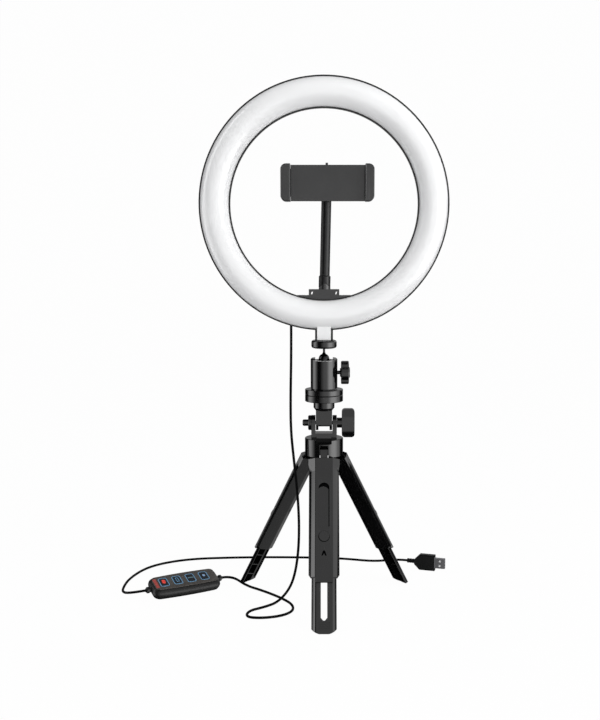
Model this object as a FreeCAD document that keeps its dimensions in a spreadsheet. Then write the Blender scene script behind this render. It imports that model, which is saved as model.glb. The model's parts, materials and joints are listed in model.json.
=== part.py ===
import FreeCAD, Part
import math
import os
import re
import Sketcher

V = FreeCAD.Vector
doc = FreeCAD.newDocument("RingLight")

# ---------------------------------------------------------------- settable sizes, in mm and degrees
# World frame: X to the right, -Y towards the lit side, Z up; the tripod hub's axis is x = y = 0.
SIZES = [
    # legs, each in a frame with its hinge pin at the origin and the foot along -Z
    ("leg_long", 191.6), ("leg_spread", 28.5), ("sole_cut", 2.71), ("tongue_wide", 8.0), ("tongue_round", 4.2),
    ("sleeve_top", 9.3), ("sleeve_side", 134.6), ("sleeve_front", 140.1), ("face_half", 9.2), ("face_out", 6.6),
    ("front_wall", 2.6), ("slide_gap", 0.3), ("slide_half", 13.4), ("slide_top", 80.0), ("slot_wide", 6.5),
    ("slot_end", 177.5), ("button_down", 93.2), ("button_dia", 11.0), ("groove_wide", 11.4),
    ("groove_top", 36.4), ("groove_end", 84.0),
    # tripod hub and yoke; the legs set the hub's height
    ("pivot_up", "=(leg_long - sole_cut)*cos(leg_spread)"), ("pivot_rise", 6.0), ("hub_low", "=pivot_up - pivot_rise"),
    ("hub_dia", 41.0), ("hub_tall", 18.5), ("notch_wide", 9.0), ("notch_deep", 12.8), ("pivot_out", 13.0),
    ("pin_dia", 3.0), ("pin_long", 25.0), ("run_gap", 0.05), ("yoke_half", 13.6), ("yoke_gap", 18.2),
    ("yoke_deep", 16.4), ("yoke_floor", 5.4), ("bolt_rise", 15.9), ("bolt_dia", 4.0),
    ("tilt_up", "=hub_low + hub_tall + bolt_rise"),
    # tilt block and ball head, stacked on the tilt bolt
    ("disc_dia", 40.5), ("block_tall", 23.6), ("disc_thick", 6.9), ("base_thick", 6.0), ("seat_gap", 0.1),
    ("block_disc_low", "=tilt_up + block_tall"), ("block_disc_top", "=block_disc_low + disc_thick"),
    ("head_low", "=block_disc_top + seat_gap"), ("head_top", "=head_low + base_thick"),
    ("case_dia", 28.5), ("case_tall", 33.0), ("case_top", "=head_top + case_tall"),
    ("ball_dia", 14.0), ("ball_sink", 2.5), ("ball_up", "=case_top - ball_sink"), ("cup_gap", 0.06),
    ("clamp_drop", 13.0), ("clamp_up", "=ball_up - clamp_drop"), ("stem_dia", 4.0), ("stem_show", 10.5),
    ("stud_dia", 6.2), ("nut_dia", 27.0), ("nut_tall", 8.7), ("nut_low", "=case_top + stem_show"), ("knob_dia", 24.8),
    # ring, in a frame with the lit side along +Z and its centre at the origin
    ("rim_out", 130.0), ("rim_in", 97.5), ("neck_tall", 10.0), ("neck_half", 9.4), ("ring_right", 0.0),
    ("neck_drop", "=rim_out + neck_tall"), ("ring_up", "=nut_low + nut_tall + seat_gap + neck_drop"),
    ("ring_wall", 1.8), ("shell_round", 7.0), ("shell_back", 11.0), ("lens_tall", 12.0), ("lens_wall", 1.4),
    ("lens_half", "=(rim_out - rim_in)/2 - 1.2"), ("ring_mid", "=(rim_out + rim_in)/2"), ("outlet_out", 35.2),
    # phone holder, on a saddle in the ring's lower inner edge
    ("chord_up", "=rim_in - 4.3"), ("saddle_top", "=chord_up - 6.2"), ("neck_dia", 10.4), ("ferrule_dia", 12.4),
    ("neck_back", 3.0), ("socket_tall", 8.1), ("bend_up", "=ring_up - saddle_top + socket_tall"),
    ("clamp_above", 21.2), ("clamp_pivot_up", "=ring_up + clamp_above"), ("neck_lean", 1.28),
    ("plate_half_tall", 18.1), ("plate_thick", 5.0), ("jaw_out", 15.0), ("jaw_wide", 9.0), ("clamp_half", 47.6),
    ("rod_dia", 2.4), ("clamp_shift", -0.6),
    # remote, plug and cord
    ("remote_x", -155.5), ("remote_y", 14.5), ("remote_up", 9.7), ("remote_yaw", 28.8), ("remote_tilt", 17.0),
    ("remote_long", 78.0), ("remote_wide", 28.0), ("remote_half_tall", 6.9), ("remote_corner", 7.0),
    ("plug_x", 112.0), ("plug_y", 96.8), ("plug_up", 9.5), ("plug_yaw", -17.0), ("cord_dia", 2.8),
]
sheet = doc.addObject("Spreadsheet::Sheet", "Dims")
for row, (alias, value) in enumerate(SIZES, 1):
    sheet.set("A%d" % row, alias)
    sheet.set("B%d" % row, str(value))
    sheet.setAlias("B%d" % row, alias)
doc.recompute()
WORDS = re.compile(r"\b(" + "|".join(sorted((a for a, _ in SIZES), key=len, reverse=True)) + r")\b")
NODES = []


def bound(text):
    """An expression on the sheet's names, written for a property outside the sheet."""
    return WORDS.sub(r"Dims.\1", str(text))


def size(text):
    """The present value of an expression on the sheet's names."""
    return float(sheet.evalExpression(bound(text)))


def keep(thing, label, where=None):
    """Registers a finished sub-part and binds its placement."""
    thing.Label = label
    if where:
        thing.setExpression("Placement", "placement(vector(%s); rotation(%s))" % tuple(map(bound, where)))
    NODES.append(thing)
    return thing


def new_body(label, where=None):
    return keep(doc.addObject("PartDesign::Body", label), label, where)


def sketch_on(body, plane, offset=None):
    sketch = body.newObject("Sketcher::SketchObject", "Outline")
    role = {"XY": "XY_Plane", "XZ": "XZ_Plane", "YZ": "YZ_Plane"}[plane]
    face = [part for part in body.Origin.OriginFeatures if part.Role == role][0]
    sketch.AttachmentSupport = [(face, "")]
    sketch.MapMode = "FlatFace"
    if offset is not None:
        sketch.setExpression(".AttachmentOffset.Base.z", bound(offset))
    return sketch


def pin_point(sketch, geometry, end, corner):
    for axis, text in zip(("DistanceX", "DistanceY"), corner):
        rule = Sketcher.Constraint(axis, -1, 1, geometry, end, size(text))
        index = sketch.addConstraint(rule)
        sketch.setExpression("Constraints[%d]" % index, bound(text))


def outline(sketch, corners):
    """A closed outline. A corner is (x, y), or (x, y, centre_y, turn) when an arc leaves it."""
    start = sketch.GeometryCount
    spots = [(size(c[0]), size(c[1])) for c in corners]
    ends = []
    for index, corner in enumerate(corners):
        here = spots[index]
        there = spots[(index + 1) % len(corners)]
        if len(corner) == 2:
            sketch.addGeometry(Part.LineSegment(V(here[0], here[1], 0), V(there[0], there[1], 0)), False)
            ends.append((1, 2))
            continue
        centre_y = size(corner[2])
        middle = ((here[0] + there[0]) / 2, (here[1] + there[1]) / 2)
        run = (there[0] - here[0], there[1] - here[1])
        centre = V(middle[0] - (centre_y - middle[1]) * run[1] / run[0], centre_y, 0)
        radius = math.hypot(here[0] - centre.x, here[1] - centre.y)
        angles = [math.atan2(p[1] - centre.y, p[0] - centre.x) for p in (here, there)]
        if corner[3] < 0:
            angles.reverse()
        circle = Part.Circle(centre, V(0, 0, 1), radius)
        sketch.addGeometry(Part.ArcOfCircle(circle, angles[0], angles[1]), False)
        ends.append((1, 2) if corner[3] > 0 else (2, 1))
    for index, corner in enumerate(corners):
        following = (index + 1) % len(corners)
        join = Sketcher.Constraint("Coincident", start + index, ends[index][1], start + following, ends[following][0])
        sketch.addConstraint(join)
        pin_point(sketch, start + index, ends[index][0], corner)
        if len(corner) == 4:
            rule = Sketcher.Constraint("DistanceY", -1, 1, start + index, 3, size(corner[2]))
            number = sketch.addConstraint(rule)
            sketch.setExpression("Constraints[%d]" % number, bound(corner[2]))


def circles(sketch, rounds):
    for x, y, radius in rounds:
        index = sketch.addGeometry(Part.Circle(V(size(x), size(y), 0), V(0, 0, 1), size(radius)), False)
        pin_point(sketch, index, 3, (x, y))
        number = sketch.addConstraint(Sketcher.Constraint("Radius", index, size(radius)))
        sketch.setExpression("Constraints[%d]" % number, bound(radius))


def draw(body, plane, shapes, offset=None):
    """A sketch from outlines (lists of corners) and rounds (tuples of centre and radius)."""
    sketch = sketch_on(body, plane, offset)
    for shape in shapes:
        if isinstance(shape, list):
            outline(sketch, shape)
        else:
            circles(sketch, [shape])
    doc.recompute()
    return sketch


def feature(body, kind, sketch, length=None, both=False, back=False):
    """A pad or pocket of a given length, or to both sides of its sketch."""
    made = body.newObject("PartDesign::" + kind, kind)
    made.Profile = sketch
    if length is None:
        made.Type = "ThroughAll"
    else:
        made.setExpression("Length", bound(length))
    if hasattr(made, "SideType"):
        made.SideType = "Symmetric" if both else "One side"
    else:
        made.Midplane = both
    made.Reversed = back
    sketch.Visibility = False
    doc.recompute()
    return made


def pad(body, plane, shapes, length, offset=None, both=False, back=False):
    return feature(body, "Pad", draw(body, plane, shapes, offset), length, both, back)


def cut(body, plane, shapes, length=None, offset=None, both=False, back=False):
    return feature(body, "Pocket", draw(body, plane, shapes, offset), length, both, back)


def spin(body, corners, kind="Revolution"):
    """A solid of revolution, or a groove, about the body's own Z axis."""
    made = body.newObject("PartDesign::" + kind, kind)
    made.Profile = draw(body, "XZ", [corners])
    made.ReferenceAxis = (made.Profile[0], ["V_Axis"])
    made.Angle = 360.0
    doc.recompute()
    return made


def around(body, features, count):
    """A polar pattern of features about the body's Z axis."""
    made = body.newObject("PartDesign::PolarPattern", "Around")
    made.Originals = features
    made.Axis = ([part for part in body.Origin.OriginFeatures if part.Role == "Z_Axis"][0], [""])
    made.Angle = 360.0
    made.Occurrences = count
    body.Tip = made
    doc.recompute()
    return made


def dress(body, kind, amount, wanted):
    """Fillets or chamfers the tip's edges for which wanted(edge) is true."""
    tip = body.Tip
    names = ["Edge%d" % (i + 1) for i, edge in enumerate(tip.Shape.Edges) if wanted(edge)]
    made = body.newObject("PartDesign::" + kind, kind)
    made.Base = (tip, names)
    made.setExpression("Size" if kind == "Chamfer" else "Radius", bound(amount))
    doc.recompute()
    return made


def lies(edge, **limits):
    """True if the edge's box lies within the given limits, such as x=(1, 2)."""
    box = edge.BoundBox
    sides = {"x": (box.XMin, box.XMax), "y": (box.YMin, box.YMax), "z": (box.ZMin, box.ZMax)}
    return all(low - 0.01 <= sides[a][0] and sides[a][1] <= high + 0.01 for a, (low, high) in limits.items())


def box(x_low, x_high, y_low, y_high):
    return [(x_low, y_low), (x_high, y_low), (x_high, y_high), (x_low, y_high)]


def rounded(half_x, half_y, radius, x="0"):
    """A rectangle's outline with round corners, about a centre on the X axis."""
    return [("%s - (%s - %s)" % (x, half_x, radius), "-(%s)" % half_y),
            ("%s + (%s - %s)" % (x, half_x, radius), "-(%s)" % half_y, "-(%s - %s)" % (half_y, radius), 1),
            ("%s + (%s)" % (x, half_x), "-(%s - %s)" % (half_y, radius)),
            ("%s + (%s)" % (x, half_x), "%s - %s" % (half_y, radius), "%s - %s" % (half_y, radius), 1),
            ("%s + (%s - %s)" % (x, half_x, radius), half_y),
            ("%s - (%s - %s)" % (x, half_x, radius), half_y, "%s - %s" % (half_y, radius), 1),
            ("%s - (%s)" % (x, half_x), "%s - %s" % (half_y, radius)),
            ("%s - (%s)" % (x, half_x), "-(%s - %s)" % (half_y, radius), "-(%s - %s)" % (half_y, radius), 1)]


def mirrored(half):
    """A closed outline from its right half, listed from low to high."""
    return half + [("-(%s)" % x, y) for x, y in reversed(half)]


def primitive(kind, place="0; 0; 0", turn="0; 0; 0", **values):
    """A Part primitive whose sizes and placement follow the sheet."""
    made = doc.addObject("Part::" + kind, kind)
    for name, text in values.items():
        made.setExpression(name, bound(text))
    made.setExpression("Placement", "placement(vector(%s); rotation(%s))" % (bound(place), bound(turn)))
    return made


def joined(kind, shapes):
    """Part::MultiFuse of shapes, or Part::Cut of the first by the second."""
    made = doc.addObject("Part::" + kind, kind)
    if kind == "Cut":
        made.Base, made.Tool = shapes
    else:
        made.Shapes = shapes
    doc.recompute()
    return made


def group(label, solids, where=None):
    """Separate solids kept in one node."""
    made = doc.addObject("Part::Compound", label)
    made.Links = solids
    doc.recompute()
    return keep(made, label, where)


UPRIGHT = "0; 0; 0"
ALONG_X = "0; 90; 0"
LIT_SIDE = "0; 0; 90"

# ---------------------------------------------------------------- tripod hub, yoke and their fasteners
hub = new_body("tripod_hub", ("0; 0; hub_low", UPRIGHT))
pad(hub, "XY", [("0", "0", "hub_dia/2")], "hub_tall")
dress(hub, "Chamfer", "0.5", lambda e: lies(e, z=(size("hub_tall"), size("hub_tall"))))
notch = cut(hub, "YZ", [box("-hub_dia", "-(pivot_out - tongue_round - 1.4)", "-1", "notch_deep")],
            "notch_wide", both=True)
pin_hole = cut(hub, "YZ", [("-pivot_out", "pivot_up - hub_low", "pin_dia/2")], "pin_long", both=True)
around(hub, [notch, pin_hole], 3)
cut(hub, "XY", [("0", "0", "2.65")], back=True)
cut(hub, "XY", [("0", "0", "4.9")], "5.2", back=True)
relief = cut(hub, "YZ", [[("-hub_dia", "hub_tall - 8.6"), ("-hub_dia/2 + 0.6", "hub_tall - 4.4"),
                          ("-yoke_deep/2 - 0.5", "hub_tall + 0.1"), ("-hub_dia", "hub_tall + 0.1")]],
             "16", both=True)

yoke = new_body("yoke", ("0; 0; hub_low + hub_tall", UPRIGHT))
tilt_local = "tilt_up - hub_low - hub_tall"
pad(yoke, "YZ", [[("-yoke_deep/2", "0"), ("yoke_deep/2", "0"),
                  ("yoke_deep/2", tilt_local, tilt_local, 1), ("-yoke_deep/2", tilt_local)]],
    "2*yoke_half", both=True)
cut(yoke, "XZ", [box("-yoke_gap/2", "yoke_gap/2", "yoke_floor", "40")], "40", both=True)
cut(yoke, "YZ", [("0", tilt_local, "bolt_dia/2 + run_gap")], "40", both=True)
cut(yoke, "XY", [("0", "0", "2.1")], "yoke_floor - 1", back=True)

hub_screw = new_body("hub_screw", ("0; 0; hub_low", UPRIGHT))
spin(hub_screw, [("0", "1.6"), ("4.6", "1.6"), ("4.6", "5.1"), ("2.6", "5.1"), ("2.6", "hub_tall"),
                 ("2.1", "hub_tall"), ("2.1", "hub_tall + 3.6"), ("0", "hub_tall + 3.6")])
cut(hub_screw, "XY", [box("-0.5", "0.5", "-3", "3")], "1.4", offset="1.6", back=True)

AZIMUTHS = [("front", 0), ("right", 120), ("left", 240)]
pins = []
for side, azimuth in AZIMUTHS:
    # the pin lies across its leg, so it turns with the leg's azimuth
    across = "pivot_out*sin({0}) - cos({0})*(pin_long/2 - 0.1)"
    along = "-pivot_out*cos({0}) - sin({0})*(pin_long/2 - 0.1)"
    place = (across + "; " + along + "; pivot_up").format(azimuth)
    pins.append(primitive("Cylinder", place, "%d; 90; 0" % azimuth, Radius="pin_dia/2", Height="pin_long - 0.2"))
group("leg_hinge_pins", pins)

# ---------------------------------------------------------------- legs
SHOULDER = mirrored([("face_half", "-face_out"), ("16.5", "-0.3"), ("17", "1.9"), ("4.2", "9.2")])
SLEEVE = mirrored([("face_half", "-face_out"), ("15.3", "-0.4"), ("15.8", "1.27"), ("4.2", "7.97")])
HOLLOW = mirrored([("slide_half - 4.59", "-face_out + front_wall"), ("slide_half + 0.09", "0.755"),
                   ("3.54", "6.5")])
SLIDE = mirrored([("slide_half - 4.71", "-face_out + front_wall + slide_gap"), ("slide_half - 0.4", "0.69"),
                  ("3.46", "6.2")])


def loft(body, lower, upper):
    made = body.newObject("PartDesign::AdditiveLoft", "Flare")
    made.Profile = lower
    made.Sections = [upper]
    made.Ruled = True
    doc.recompute()
    return made


def leg(side, azimuth):
    """One leg: hinged sleeve, sliding foot and the latch button, in the leg's own frame."""
    pivot = "pivot_out*sin({0}); -pivot_out*cos({0}); pivot_up".format(azimuth)
    where = (pivot, "%d; 0; -leg_spread" % azimuth)
    sleeve = new_body("leg_sleeve_" + side, where)
    pad(sleeve, "XY", [SHOULDER], "5.7", offset="-(sleeve_top + 5.7)")
    loft(sleeve, draw(sleeve, "XY", [SHOULDER], "-(sleeve_top + 5.7)"),
         draw(sleeve, "XY", [SLEEVE], "-(sleeve_top + 14)"))
    pad(sleeve, "XY", [SLEEVE], "sleeve_side - sleeve_top - 14", offset="-sleeve_side")
    pad(sleeve, "XY", [box("-face_half", "face_half", "-face_out", "-face_out + front_wall")],
        "sleeve_front - sleeve_side + 1", offset="-sleeve_front")
    pad(sleeve, "YZ", [[("-tongue_round", "-sleeve_top - 0.5"), ("tongue_round", "-sleeve_top - 0.5"),
                        ("tongue_round", "0", "0", 1), ("-tongue_round", "0")]], "tongue_wide", both=True)
    cut(sleeve, "YZ", [("0", "0", "pin_dia/2 + run_gap")], "12", both=True)
    cut(sleeve, "XY", [HOLLOW], "sleeve_front - 30", offset="-(sleeve_front + 1)", back=True)
    bend = "-(groove_top + groove_wide/2)"
    cut(sleeve, "XZ", [[("-groove_wide/2", "-groove_end"), ("groove_wide/2", "-groove_end"),
                        ("groove_wide/2", bend, bend, 1), ("-groove_wide/2", bend)]], "1.7", offset="face_out")
    cut(sleeve, "XZ", [("0", "-button_down", "button_dia/2 + slide_gap")], "front_wall + 0.4", offset="face_out")
    cut(sleeve, "XZ", [[("-2.7", "-113"), ("-1.2", "-113"), ("0", "-110.6"), ("1.2", "-113"), ("2.7", "-113"),
                        ("1.3", "-108.6"), ("0", "-107.4"), ("-1.3", "-108.6")]], "1.3", offset="face_out")
    for sign in ("-1", "1"):
        cut(sleeve, "XZ", [[(sign + "*16.5", "-sleeve_side + 4"), (sign + "*16.5", "-sleeve_side - 1"),
                            (sign + "*12.9", "-sleeve_side - 1")]], "40", both=True)

    slide = new_body("leg_slide_" + side, where)
    front = "face_out - front_wall - slide_gap"
    pad(slide, "XY", [SLIDE], "leg_long - slide_top", offset="-leg_long")
    cut(slide, "XZ", [[("-slot_wide/2", "-(slot_end - 2.8)"), ("-0.9", "-slot_end"), ("0.9", "-slot_end"),
                       ("slot_wide/2", "-(slot_end - 2.8)"), ("slot_wide/2", "-(slide_top + 5)"),
                       ("-slot_wide/2", "-(slide_top + 5)")]], "40", both=True)
    cut(slide, "XZ", [box("-7.1", "7.1", "-(sleeve_front - 1)", "-(slide_top - 1)")], "2.3", offset=front)
    for sign in ("-1", "1"):
        # pockets between thin ribs, open to the leg's flank
        pocket = [("4.9", "-1.4"), ("8.6", "-1.4"), ("11.2", "1.2"), ("12.2", "3.4"), ("12.2", "8"), ("4.9", "8")]
        ladder = cut(slide, "XY", [[(sign + "*" + x, y) for x, y in pocket]], "12.5",
                     offset="-(slide_top + 23.5)", back=True)
        row = slide.newObject("PartDesign::LinearPattern", "Ribs")
        row.Originals = [ladder]
        row.Direction = ([part for part in slide.Origin.OriginFeatures if part.Role == "Z_Axis"][0], [""])
        row.Reversed = True
        row.Length = 13.5 * 6
        row.Occurrences = 7
        slide.Tip = row
        doc.recompute()
    cut(slide, "XZ", [[("-15", "-(leg_long + 2)"), ("15", "-(leg_long + 2)"),
                       ("15", "-leg_long + 9.92", "-leg_long + 16.3", -1), ("-15", "-leg_long + 9.92")]],
        "40", both=True)
    cut(slide, "YZ", [[("-4", "-leg_long - 1.8"), ("-4", "-(leg_long + 4.3)"), ("10", "-(leg_long + 4.3)"),
                       ("10", "-leg_long + 16.2")]], "40", both=True)
    floor = "-pivot_up/cos(leg_spread) {0} tan(leg_spread)*8"
    cut(slide, "YZ", [[("-8", floor.format("-")), ("-8", "-(leg_long + 20)"), ("8", "-(leg_long + 20)"),
                       ("8", floor.format("+"))]], "40", both=True)
    cut(slide, "XZ", [box("-5.5", "5.5", "-(slot_end + %g)" % (down + 0.8), "-(slot_end + %g)" % down)
                      for down in (1.6, 3.6, 5.6, 7.6)], "0.4", offset=front)

    button = new_body("leg_button_" + side, where)
    pad(button, "XZ", [("0", "-button_down", "button_dia/2")], "5.2", offset="face_out - 3.1")
    pad(button, "XZ", [("0", "-button_down", "6.6")], "0.8", offset="face_out - front_wall - 0.85")
    pad(button, "XZ", [("0", "-button_down", "2.7")], "8.6", offset="-4.4")


for side, azimuth in AZIMUTHS:
    leg(side, azimuth)

# ---------------------------------------------------------------- tilt hinge
AT_TILT = "0; 0; tilt_up"
bolt = new_body("tilt_bolt", (AT_TILT, ALONG_X))
spin(bolt, [("0", "-23"), ("2.4", "-23"), ("3.5", "-22"), ("3.5", "-17"), ("7", "-17"), ("8", "-16.2"),
            ("8", "-yoke_half"), ("bolt_dia/2", "-yoke_half"), ("bolt_dia/2", "26"), ("0", "26")])

knob_nut = new_body("tilt_knob_nut", (AT_TILT, ALONG_X))
spin(knob_nut, [("bolt_dia/2 + run_gap", "20.5"), ("3.4", "20.5"), ("3.4", "28"), ("bolt_dia/2 + run_gap", "28")])

tilt_knob = new_body("tilt_knob", (AT_TILT, ALONG_X))
pad(tilt_knob, "XY", [[("-7", "-6.4"), ("7", "-6.4"), ("15.3", "-3.6"), ("15.3", "3.6"), ("7", "6.4"),
                       ("-7", "6.4"), ("-15.3", "3.6"), ("-15.3", "-3.6")]], "13.6", offset="19")
dress(tilt_knob, "Fillet", "3.4", lambda e: e.BoundBox.YLength > 5 and abs(abs(e.BoundBox.Center.x) - 15.3) < 0.1)
pad(tilt_knob, "XY", [("0", "0", "5.45")], "7", offset="yoke_half + 0.2")
cut(tilt_knob, "XY", [("0", "0", "bolt_dia/2 + run_gap")], "14.5", offset="yoke_half", back=True)
cut(tilt_knob, "XY", [("0", "0", "3.4")], "7.5", offset="20.5", back=True)

block = new_body("tilt_block", (AT_TILT, UPRIGHT))
pad(block, "YZ", [[("8", "0"), ("8", "block_tall - 9.5"), ("-8", "block_tall - 9.5"), ("-8", "0", "0", 1)]],
    "yoke_gap - 0.9", both=True)
cut(block, "XZ", [box("-6", "5.9", "-9", "-2.9")], "40", both=True)
spin(block, [("0", "block_tall - 10"), ("9", "block_tall - 10"), ("11.25", "block_tall - 7"),
             ("11.25", "block_disc_low - tilt_up"), ("disc_dia/2 - 0.4", "block_disc_low - tilt_up"),
             ("disc_dia/2", "block_disc_low - tilt_up + 0.4"), ("disc_dia/2", "block_disc_top - tilt_up - 0.4"),
             ("disc_dia/2 - 0.4", "block_disc_top - tilt_up"), ("0", "block_disc_top - tilt_up")])
cut(block, "YZ", [("0", "0", "bolt_dia/2 + run_gap")], "40", both=True)
cut(block, "XY", [("0", "0", "3.25")], "disc_thick + 5.1", offset="block_disc_top - tilt_up")

stud = new_body("head_stud", ("0; 0; block_disc_low", UPRIGHT))
stud_top = "disc_thick + seat_gap + base_thick - 1.1"
spin(stud, [("0", "-4.9"), ("2.7", "-4.9"), ("3.2", "-4.4"), ("3.2", stud_top + " - 0.5"), ("2.7", stud_top), ("0", stud_top)])

# ---------------------------------------------------------------- ball head, in a frame centred on the ball
AT_BALL = "0; 0; ball_up"
base = new_body("ball_head_base", (AT_BALL, UPRIGHT))
spin(base, [("3.25", "head_low - ball_up"), ("disc_dia/2 - 0.4", "head_low - ball_up"),
            ("disc_dia/2", "head_low - ball_up + 0.4"), ("disc_dia/2", "head_top - ball_up - 0.4"),
            ("disc_dia/2 - 0.4", "head_top - ball_up"), ("3.25", "head_top - ball_up")])

case = new_body("ball_housing", (AT_BALL, UPRIGHT))
spin(case, [("0", "head_top - ball_up"), ("case_dia/2 - 0.7", "head_top - ball_up"),
            ("case_dia/2 - 0.7", "head_top - ball_up + 0.9"), ("case_dia/2", "head_top - ball_up + 0.9"),
            ("case_dia/2", "case_top - ball_up - 1.2"), ("case_dia/2 - 1.2", "case_top - ball_up"),
            ("ball_dia/2 + 2.4", "case_top - ball_up"), ("ball_dia/2 + 1.9", "case_top - ball_up - 0.8"),
            ("ball_dia/2 + 1.9", "-(ball_dia/2 + 8.2)"), ("0", "-(ball_dia/2 + 8.2)")])
cut(case, "YZ", [("0", "clamp_up - ball_up", "2.05")], "16", back=True)

cup = new_body("ball_cup", (AT_BALL, UPRIGHT))
spin(cup, [("0", "-(ball_dia/2 + 1.6)", "0", 1), ("ball_dia/2 + 1.6", "0"), ("ball_dia/2 + cup_gap", "0", "0", -1),
           ("0", "-(ball_dia/2 + cup_gap)")])

clamp_pad = new_body("clamp_pad", (AT_BALL, UPRIGHT))
pad_half = "ball_dia/2 + 1.7"
spin(clamp_pad, [("0", "2.1 - clamp_drop"), (pad_half, "2.1 - clamp_drop"), (pad_half, "-(ball_dia/2 + 1)"),
                 (pad_half + " - 1.3", "-(ball_dia/2 + 1)"), (pad_half + " - 2.3", "-(ball_dia/2 + 1.75)"),
                 ("0", "-(ball_dia/2 + 1.75)")])

stem_end = "nut_low + nut_tall + 6.3 - ball_up"
ball = new_body("ball_stud", (AT_BALL, UPRIGHT))
spin(ball, [("0", "-ball_dia/2", "0", 1), ("stem_dia/2", "sqrt((ball_dia/2)^2 - (stem_dia/2)^2)"),
            ("stem_dia/2", "nut_low - ball_up - 0.4"), ("stud_dia/2", "nut_low - ball_up + 0.2"),
            ("stud_dia/2", stem_end + " - 0.6"), ("stud_dia/2 - 0.5", stem_end), ("0", stem_end)])

nut = new_body("lock_nut", (AT_BALL, UPRIGHT))
spin(nut, [("stud_dia/2 + run_gap", "nut_low - ball_up"), ("nut_dia/2 - 2.4", "nut_low - ball_up"),
           ("nut_dia/2 - 0.7", "nut_low - ball_up + 0.7"), ("nut_dia/2", "nut_low - ball_up + 2.2"),
           ("nut_dia/2", "nut_low - ball_up + nut_tall - 2.2"),
           ("nut_dia/2 - 0.7", "nut_low - ball_up + nut_tall - 0.7"),
           ("nut_dia/2 - 2.4", "nut_low - ball_up + nut_tall"),
           ("stud_dia/2 + run_gap", "nut_low - ball_up + nut_tall")])

AT_CLAMP = "0; 0; clamp_up"
lock_screw = new_body("ball_lock_screw", (AT_CLAMP, ALONG_X))
spin(lock_screw, [("0", "2"), ("0.8", "2"), ("2", "4.4"), ("2", "23"), ("0", "23")])
lock_knob = new_body("ball_lock_knob", (AT_CLAMP, ALONG_X))
spin(lock_knob, [("2.02", "16.9"), ("4.6", "16.9"), ("4.6", "18"), ("knob_dia/2 - 0.8", "18"), ("knob_dia/2", "18.8"),
                 ("knob_dia/2", "25.6"), ("knob_dia/2 - 0.8", "26.4"), ("6", "26.4"), ("5.2", "27.5"), ("0", "27.5"),
                 ("0", "23.1"), ("2.02", "23.1")])
flute = cut(lock_knob, "XY", [("13.6*sin(36)", "-13.6*cos(36)", "3.4")], "12", offset="17.9", back=True)
around(lock_knob, [flute], 5)

# ---------------------------------------------------------------- ring light
AT_RING = "ring_right; 0; ring_up"
shell = new_body("ring_back_housing", (AT_RING, LIT_SIDE))
turn_z = "-(shell_back - shell_round)"
spin(shell, [("rim_out", "1.2"), ("rim_out", turn_z, turn_z, -1), ("rim_out - shell_round", "-shell_back"),
             ("rim_in + shell_round", "-shell_back", turn_z, -1), ("rim_in", turn_z), ("rim_in", "1.2"),
             ("rim_in + 1", "1.2"), ("rim_in + 1", "-1"), ("rim_in + ring_wall", "-1"),
             ("rim_in + ring_wall", turn_z, turn_z, 1), ("rim_in + shell_round", "-shell_back + ring_wall"),
             ("rim_out - shell_round", "-shell_back + ring_wall", turn_z, 1), ("rim_out - ring_wall", turn_z),
             ("rim_out - ring_wall", "-1"), ("rim_out - 1", "-1"), ("rim_out - 1", "1.2")])
pad(shell, "XY", [box("-neck_half", "neck_half", "-neck_drop", "-(rim_out - 1.05)")], "13.7", offset="-7.5")
cut(shell, "XY", [box("-(neck_half - 2.1)", "neck_half - 2.1", "-neck_drop - 1", "-(rim_out - 2)")], "3", offset="4.6",
    back=True)
cut(shell, "XZ", [("0", "0", "4")], "9.6", offset="neck_drop")
pad(shell, "XY", [box("-outlet_out - 5", "-outlet_out + 5", "-(rim_in + 14.5)", "-(rim_in + 3)")], "9",
    offset="-(shell_back + 8.5)")
cut(shell, "XZ", [("-outlet_out", "-(shell_back + 4)", "3.25")], "3", offset="rim_in + 14.5")
hole = cut(shell, "XY", [("ring_mid*cos(22.5)", "ring_mid*sin(22.5)", "1.55")], "5", offset="-(shell_back + 1)", back=True)
around(shell, [hole], 8)
cut(shell, "XZ", [("-19", "-7", "1.25"), ("19", "-7", "1.25")], "10", offset="rim_in + 4.5")

lens = new_body("ring_diffuser", (AT_RING, LIT_SIDE))
arc_out = "(lens_tall^2 - lens_half^2)/(2*lens_tall)"
arc_in = "((lens_tall - lens_wall)^2 - (lens_half - lens_wall)^2)/(2*(lens_tall - lens_wall))"
spin(lens, [("rim_in + 1.2", "-0.95"), ("rim_in + 1.2", "0", arc_out, -1), ("rim_out - 1.2", "0"),
            ("rim_out - 1.2", "-0.95"), ("rim_out - 1.2 - lens_wall", "-0.95"),
            ("rim_out - 1.2 - lens_wall", "0", arc_in, 1), ("rim_in + 1.2 + lens_wall", "0"),
            ("rim_in + 1.2 + lens_wall", "-0.95")])
pad(lens, "XY", [box("-(neck_half - 2.2)", "neck_half - 2.2", "-neck_drop + 0.2", "-(rim_out - 4.4)")], "1.5", offset="4.7")

insert = new_body("neck_insert", ("0; 0; ring_up - neck_drop", UPRIGHT))
spin(insert, [("stud_dia/2 + run_gap", "0.1"), ("4", "0.1"), ("4", "9.5"), ("stud_dia/2 + run_gap", "9.5")])

board = new_body("led_board", (AT_RING, LIT_SIDE))
pad(board, "XY", [("0", "0", "rim_out - 4"), ("0", "0", "rim_in + 4")], "1.6", offset="-4.2")
hole = cut(board, "XY", [("ring_mid*cos(22.5)", "ring_mid*sin(22.5)", "1.7")], "4", offset="-5", back=True)
around(board, [hole], 8)

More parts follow.
